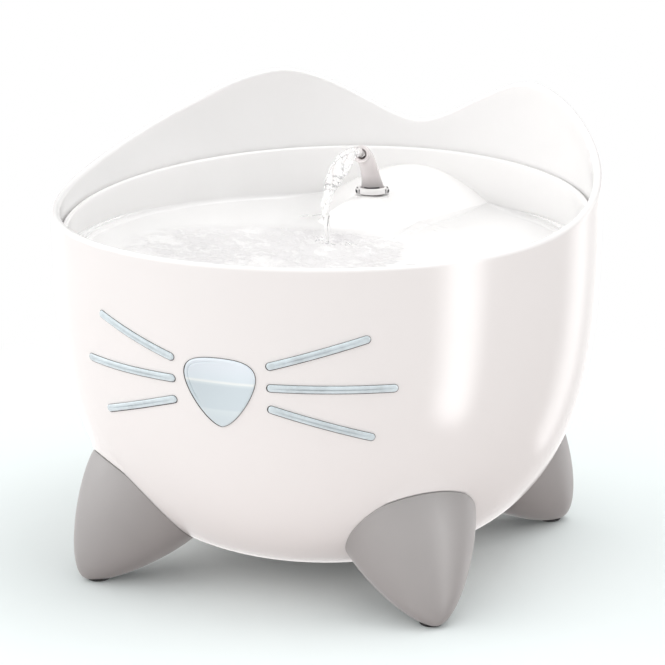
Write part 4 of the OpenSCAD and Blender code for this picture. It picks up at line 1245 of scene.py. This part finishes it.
def flowing_line(points, steps):
    """Smooth curve through points, with a number of steps between two of them"""
    last = len(points) - 1
    path = []
    for i in range(last):
        a, b, c, d = (points[max(0, min(last, i + k))] for k in (-1, 0, 1, 2))
        for k in range(steps):
            t = k / steps
            path.append(0.5 * ((2 * b) + (c - a) * t + (2 * a - 5 * b + 4 * c - d) * t * t
                + (3 * b - a - 3 * c + d) * t ** 3))
    return path + [points[-1]]


def twisted_strand(path, strand):
    """One of the strands that the falling water is twisted from"""
    points, radii = [], []
    for i, p in enumerate(path):
        t = i / (len(path) - 1)
        turn = strand * 2 * math.pi / STRANDS + 7.0 * t
        half = read_off(STREAM_HALF, t)
        spread = 0.48 * half * (0.25 + 0.75 * min(1.0, t * 6))
        lump = 1.0 + 0.3 * noise.noise(Vector((t * 19.0, strand * 4.0, 0.5)))
        up = math.sin(turn) * spread
        points.append(p + Vector((math.cos(turn) * spread, up * 0.6, up * 0.4)))
        radii.append(0.56 * half * lump)
    return sweep("strand", points, radii, 20, 180)


def build_stream():
    """Water that falls from the spout: twisted strands and a few drops, made one"""
    path = flowing_line([Vector((0, y, z)) for y, z in STREAM], 8)
    parts = [twisted_strand(path, strand) for strand in range(STRANDS)]
    rng = random.Random(7)
    for k in range(DROPS):
        p = path[int(len(path) * (0.06 + 0.05 * k))]
        r = rng.uniform(0.45, 0.9)
        off = Vector((rng.uniform(-2.4, 2.4), rng.uniform(-0.8, 0.8), rng.uniform(-1.2, 2.2)))
        turn = [math.pi * i / 12 for i in range(1, 12)]
        ball = [(0, -r)] + [(r * math.sin(a), -r * math.cos(a)) for a in turn] + [(0, r)]
        parts.append(lathe("drop", ball, 20, Matrix.Translation(p + off), 180))
    stream = parts[0]
    for part in parts[1:]:
        combine(stream, part, "UNION", smooth=180)
    stream.name = "falling_water"
    settle(stream, "falling", "spout", "clear_tube")


def build_water():
    build_pool()
    build_stream()


# ---------------------------------------------------------------- inner pieces

def paint_pump():
    """The pump's and the light's own CAD shapes get their finishes"""
    paint_nodes("pump", "pump_housing", "pump_faceplate")
    paint_nodes("seal", "bush_front", "bush_rear", "suction_cups", "pump_cable_gland")
    paint_nodes("potting", "pump_stator")
    paint_nodes("ceramic", "rotor_shaft")
    paint_nodes("clear", "riser_tube", "light_lens")
    paint_nodes("board", "light_board")
    paint_nodes("ferrite", "rotor_magnet")
    paint_nodes("blade", "impeller")


def paint_filter():
    """The hood's and the cartridge's own CAD shapes get their finishes"""
    paint_nodes("hood", "filter_hood")
    for part in ("foam", "carbon", "resin"):
        paint_nodes(part, f"cartridge_{part}")
    paint_nodes("cartridge", "cartridge_frame")


# ---------------------------------------------------------------- studio

# Soft light from the world: azimuth, elevation, narrowness and strength of each side that is bright
SKY = ((0, 90, 2.0, 0.52), (-70, 0, 2.0, 2.42), (20, 0, 2.0, 0.78), (110, 50, 4.0, 1.2), (200, 50, 4.0, 0.35))
# The same for the light from under the horizon, and its strength on all sides
BEHIND = (200, 0, 2.0, 1.5)
UNDER = 0.06
# Azimuth and power of each group of panels beside the stage, and the width and share of its panels
STRIPS = ((77.5, 11.5), (147.5, 2.7))
STRIP_PANELS = ((0.56, 0.42), (0.42, 0.28), (0.26, 0.26))
STRIP_HEIGHT = 1.4
# Lamp overhead, a metre from the middle of the bowl: azimuth and elevation in degrees, size and power
OVERHEAD = (100, 76, 0.6, 2.6)
FLOOR_HALF = 12.0
FLOOR_STEPS = 40
# Distances from the middle between which the floor goes over from shaded to plain white
SHADE_NEAR, SHADE_FAR = 0.19, 0.38


def towards(azimuth, elevation):
    """Direction at an azimuth from the face to its right and an elevation, both in radians"""
    flat = math.cos(elevation)
    return Vector((math.sin(azimuth) * flat, -math.cos(azimuth) * flat, math.sin(elevation)))


def lamp(name, location, direction, width, height, power):
    """Rectangular lamp that shines back along a direction"""
    data = bpy.data.lights.new(name, "AREA")
    data.shape = "RECTANGLE"
    data.size, data.size_y = width, height
    data.energy = power
    obj = add_object(name, data)
    obj.location = location
    obj.rotation_euler = direction.to_track_quat("Z", "Y").to_euler()
    return obj


def strip_lamp(azimuth, width, power):
    """Tall narrow panel beside the stage that shows only as a reflection; none lies in another's plane"""
    a = math.radians(azimuth)
    away = 1.3 + 0.25 * width
    location = (math.sin(a) * away, -math.cos(a) * away, -0.1)
    obj = lamp("strip_lamp", location, towards(a, 0.0), width, STRIP_HEIGHT, power)
    obj.visible_diffuse = False


def place_camera(scene):
    """Camera in front of the face and a little to its right"""
    setup = scene.fountain_stage
    data = bpy.data.cameras.new("studio_camera")
    camera = add_object("studio_camera", data)
    data.sensor_width = 36.0
    data.lens = setup.lens
    data.shift_x, data.shift_y = setup.shift
    data.clip_start, data.clip_end = 0.05, 60.0
    direction = towards(setup.azimuth, setup.elevation)
    camera.location = Vector((0, 0, setup.target)) + direction * setup.distance
    upright = direction.to_track_quat("Z", "Y").to_matrix()
    camera.rotation_euler = (upright @ Matrix.Rotation(setup.roll, 3, "Z")).to_euler()
    scene.camera = camera


def lay_floor():
    """Plain level floor, in quads"""
    half, count = FLOOR_HALF, FLOOR_STEPS
    places = [-half + 2 * half * i / count for i in range(count + 1)]
    verts = [(x, y, 0.0) for y in places for x in places]
    corners = [j * (count + 1) + i for j in range(count) for i in range(count)]
    faces = [(k, k + 1, k + count + 2, k + count + 1) for k in corners]
    mesh = bpy.data.meshes.new("studio_floor")
    mesh.from_pydata(verts, [], faces)
    floor = add_object("studio_floor", mesh)
    paint(floor, floor_finish())
    floor.visible_glossy = False


def light_world(scene):
    """Light from all sides for the object, and plain white for what the camera and clear pieces look at"""
    world = bpy.data.worlds.new("studio_world")
    scene.world = world
    world.use_nodes = True
    tree = world.node_tree
    back = tree.nodes["Background"]
    back.inputs["Color"].default_value = (1.0, 0.99, 0.985, 1.0)
    around = tree.nodes.new("ShaderNodeTexCoord").outputs["Generated"]
    split = tree.nodes.new("ShaderNodeSeparateXYZ")
    tree.links.new(around, split.inputs[0])

    def math_node(operation, a, b):
        n = tree.nodes.new("ShaderNodeMath")
        n.operation = operation
        for socket, value in zip(n.inputs, (a, b)):
            if isinstance(value, float):
                socket.default_value = value
            else:
                tree.links.new(value, socket)
        return n.outputs[0]

    def glow(azimuth, elevation, narrowness, strength):
        dot = tree.nodes.new("ShaderNodeVectorMath")
        dot.operation = "DOT_PRODUCT"
        tree.links.new(around, dot.inputs[0])
        dot.inputs[1].default_value = towards(math.radians(azimuth), math.radians(elevation))
        lobe = math_node("POWER", math_node("MAXIMUM", dot.outputs["Value"], 0.0), narrowness)
        return math_node("MULTIPLY", lobe, strength)

    sky = 0.0
    for side in SKY:
        sky = math_node("ADD", glow(*side), sky)
    above = math_node("GREATER_THAN", split.outputs["Z"], 0.0)
    below = math_node("SUBTRACT", 1.0, above)
    low = math_node("ADD", glow(*BEHIND), UNDER)
    total = math_node("ADD", math_node("MULTIPLY", sky, above), math_node("MULTIPLY", low, below))
    tree.links.new(total, back.inputs["Strength"])
    white = tree.nodes.new("ShaderNodeBackground")
    white.inputs["Color"].default_value = (1, 1, 1, 1)
    white.inputs["Strength"].default_value = 1.0
    path = tree.nodes.new("ShaderNodeLightPath")
    seen = math_node("MAXIMUM", path.outputs["Is Camera Ray"], path.outputs["Is Transmission Ray"])
    mix = tree.nodes.new("ShaderNodeMixShader")
    for source, socket in zip((seen, back.outputs[0], white.outputs[0]), mix.inputs):
        tree.links.new(source, socket)
    tree.links.new(mix.outputs[0], tree.nodes["World Output"].inputs["Surface"])


def build_studio():
    """Floor, camera, world and lamps; the panels at one azimuth stand one behind the other"""
    scene = bpy.context.scene
    scene.view_settings.view_transform = "Standard"
    place_camera(scene)
    lay_floor()
    light_world(scene)
    azimuth, elevation, size, power = OVERHEAD
    above = towards(math.radians(azimuth), math.radians(elevation))
    lamp("overhead", Vector((0, 0, 0.09)) + above, above, size, size, power)
    for azimuth, power in STRIPS:
        for width, share in STRIP_PANELS:
            strip_lamp(azimuth, width, power * share)


def floor_finish():
    """Pale floor that reads as pure white where nothing shades it"""
    f = Finish("studio_floor", (0.80, 0.86, 0.86), 0.9, {"IOR": 1.2})
    f.colour_from(f.noise(3.0, 3.0, 0.5), 0.99, 1.0, 1.01)
    path = f.node("ShaderNodeLightPath")

    def glow(colour, strength):
        n = f.node("ShaderNodeEmission")
        n.inputs["Color"].default_value = colour + (1.0,)
        n.inputs["Strength"].default_value = strength
        return n.outputs[0]

    def mix(factor, a, b):
        n = f.node("ShaderNodeMixShader")
        f.link(factor, n.inputs[0])
        f.link(a, n.inputs[1])
        f.link(b, n.inputs[2])
        return n.outputs[0]

    near = f.node("ShaderNodeAddShader")
    f.link(f.shader.outputs[0], near.inputs[0])
    f.link(glow((0.95, 1.0, 1.0), 0.035), near.inputs[1])
    bounce = f.node("ShaderNodeBsdfDiffuse")
    bounce.inputs["Color"].default_value = (0.88, 0.82, 0.805, 1.0)
    away = f.node("ShaderNodeVectorMath", operation="LENGTH")
    f.link(f.where, away.inputs[0])
    far = f.remap(away.outputs["Value"], SHADE_NEAR, SHADE_FAR, 0.0, 1.0)
    seen = mix(far, near.outputs[0], glow((1.0, 1.0, 1.0), 1.0))
    surface = mix(path.outputs["Is Camera Ray"], bounce.outputs[0], seen)
    f.link(surface, f.tree.nodes["Material Output"].inputs["Surface"])
    return f.material


# ---------------------------------------------------------------- operators

class FOUNTAIN_OT_studio(bpy.types.Operator):
    """Adds the floor, the lamps and the camera"""

    bl_idname = "fountain.studio"
    bl_label = "Studio"
    bl_options = {"REGISTER", "UNDO"}

    def execute(self, context):
        build_studio()
        return {"FINISHED"}


class FOUNTAIN_OT_bowl(bpy.types.Operator):
    """Adds the reservoir bowl with its eared rim, hips and inner ledges"""

    bl_idname = "fountain.bowl"
    bl_label = "Reservoir bowl"
    bl_options = {"REGISTER", "UNDO"}

    def execute(self, context):
        build_bowl()
        return {"FINISHED"}


class FOUNTAIN_OT_windows(bpy.types.Operator):
    """Adds the nose and whisker windows with their seals"""

    bl_idname = "fountain.windows"
    bl_label = "Face windows"
    bl_options = {"REGISTER", "UNDO"}

    def execute(self, context):
        build_windows()
        return {"FINISHED"}


class FOUNTAIN_OT_feet(bpy.types.Operator):
    """Adds the four tapered feet and finishes their pads and screws"""

    bl_idname = "fountain.feet"
    bl_label = "Feet"
    bl_options = {"REGISTER", "UNDO"}

    def execute(self, context):
        build_feet()
        return {"FINISHED"}


class FOUNTAIN_OT_dish(bpy.types.Operator):
    """Adds the drinking dish with its hill and drain slots"""

    bl_idname = "fountain.dish"
    bl_label = "Drinking dish"
    bl_options = {"REGISTER", "UNDO"}

    def execute(self, context):
        build_dish()
        return {"FINISHED"}


class FOUNTAIN_OT_spout(bpy.types.Operator):
    """Adds the spout and the ring round its foot"""

    bl_idname = "fountain.spout"
    bl_label = "Spout"
    bl_options = {"REGISTER", "UNDO"}

    def execute(self, context):
        build_spout()
        return {"FINISHED"}


class FOUNTAIN_OT_water(bpy.types.Operator):
    """Adds the pool in the dish and the falling water"""

    bl_idname = "fountain.water"
    bl_label = "Water"
    bl_options = {"REGISTER", "UNDO"}

    def execute(self, context):
        build_water()
        return {"FINISHED"}


class FOUNTAIN_OT_pump(bpy.types.Operator):
    """Finishes the pump, its rotor and its light"""

    bl_idname = "fountain.pump"
    bl_label = "Pump"
    bl_options = {"REGISTER", "UNDO"}

    def execute(self, context):
        paint_pump()
        return {"FINISHED"}


class FOUNTAIN_OT_filter(bpy.types.Operator):
    """Finishes the filter hood and its cartridge"""

    bl_idname = "fountain.filter"
    bl_label = "Filter"
    bl_options = {"REGISTER", "UNDO"}

    def execute(self, context):
        paint_filter()
        return {"FINISHED"}


OPERATORS = (FOUNTAIN_OT_studio, FOUNTAIN_OT_bowl, FOUNTAIN_OT_windows, FOUNTAIN_OT_feet, FOUNTAIN_OT_dish,
    FOUNTAIN_OT_spout, FOUNTAIN_OT_water, FOUNTAIN_OT_pump, FOUNTAIN_OT_filter)


class FOUNTAIN_PT_panel(bpy.types.Panel):
    """Lists the fountain's pieces in the sidebar"""

    bl_label = "Pet water fountain"
    bl_idname = "FOUNTAIN_PT_panel"
    bl_space_type = "VIEW_3D"
    bl_region_type = "UI"
    bl_category = "Fountain"

    def draw(self, context):
        layout = self.layout
        for operator in OPERATORS:
            layout.operator(operator.bl_idname)
        scene = context.scene
        for group in (scene.fountain_sizes, scene.fountain_colours, scene.fountain_stage):
            box = layout.box()
            for key in group.__annotations__:
                box.prop(group, key)


CLASSES = (FountainSizes, FountainColours, FountainStage) + OPERATORS + (FOUNTAIN_PT_panel,)


def register():
    for cls in CLASSES:
        bpy.utils.register_class(cls)
    bpy.types.Scene.fountain_sizes = PointerProperty(type=FountainSizes)
    bpy.types.Scene.fountain_colours = PointerProperty(type=FountainColours)
    bpy.types.Scene.fountain_stage = PointerProperty(type=FountainStage)


def unregister():
    del bpy.types.Scene.fountain_stage
    del bpy.types.Scene.fountain_colours
    del bpy.types.Scene.fountain_sizes
    for cls in reversed(CLASSES):
        bpy.utils.unregister_class(cls)


def main():
    register()
    bpy.ops.fountain.studio()
    bpy.ops.fountain.bowl()
    bpy.ops.fountain.windows()
    bpy.ops.fountain.feet()
    bpy.ops.fountain.dish()
    bpy.ops.fountain.spout()
    bpy.ops.fountain.water()
    bpy.ops.fountain.pump()
    bpy.ops.fountain.filter()


if __name__ == "__main__":
    main()
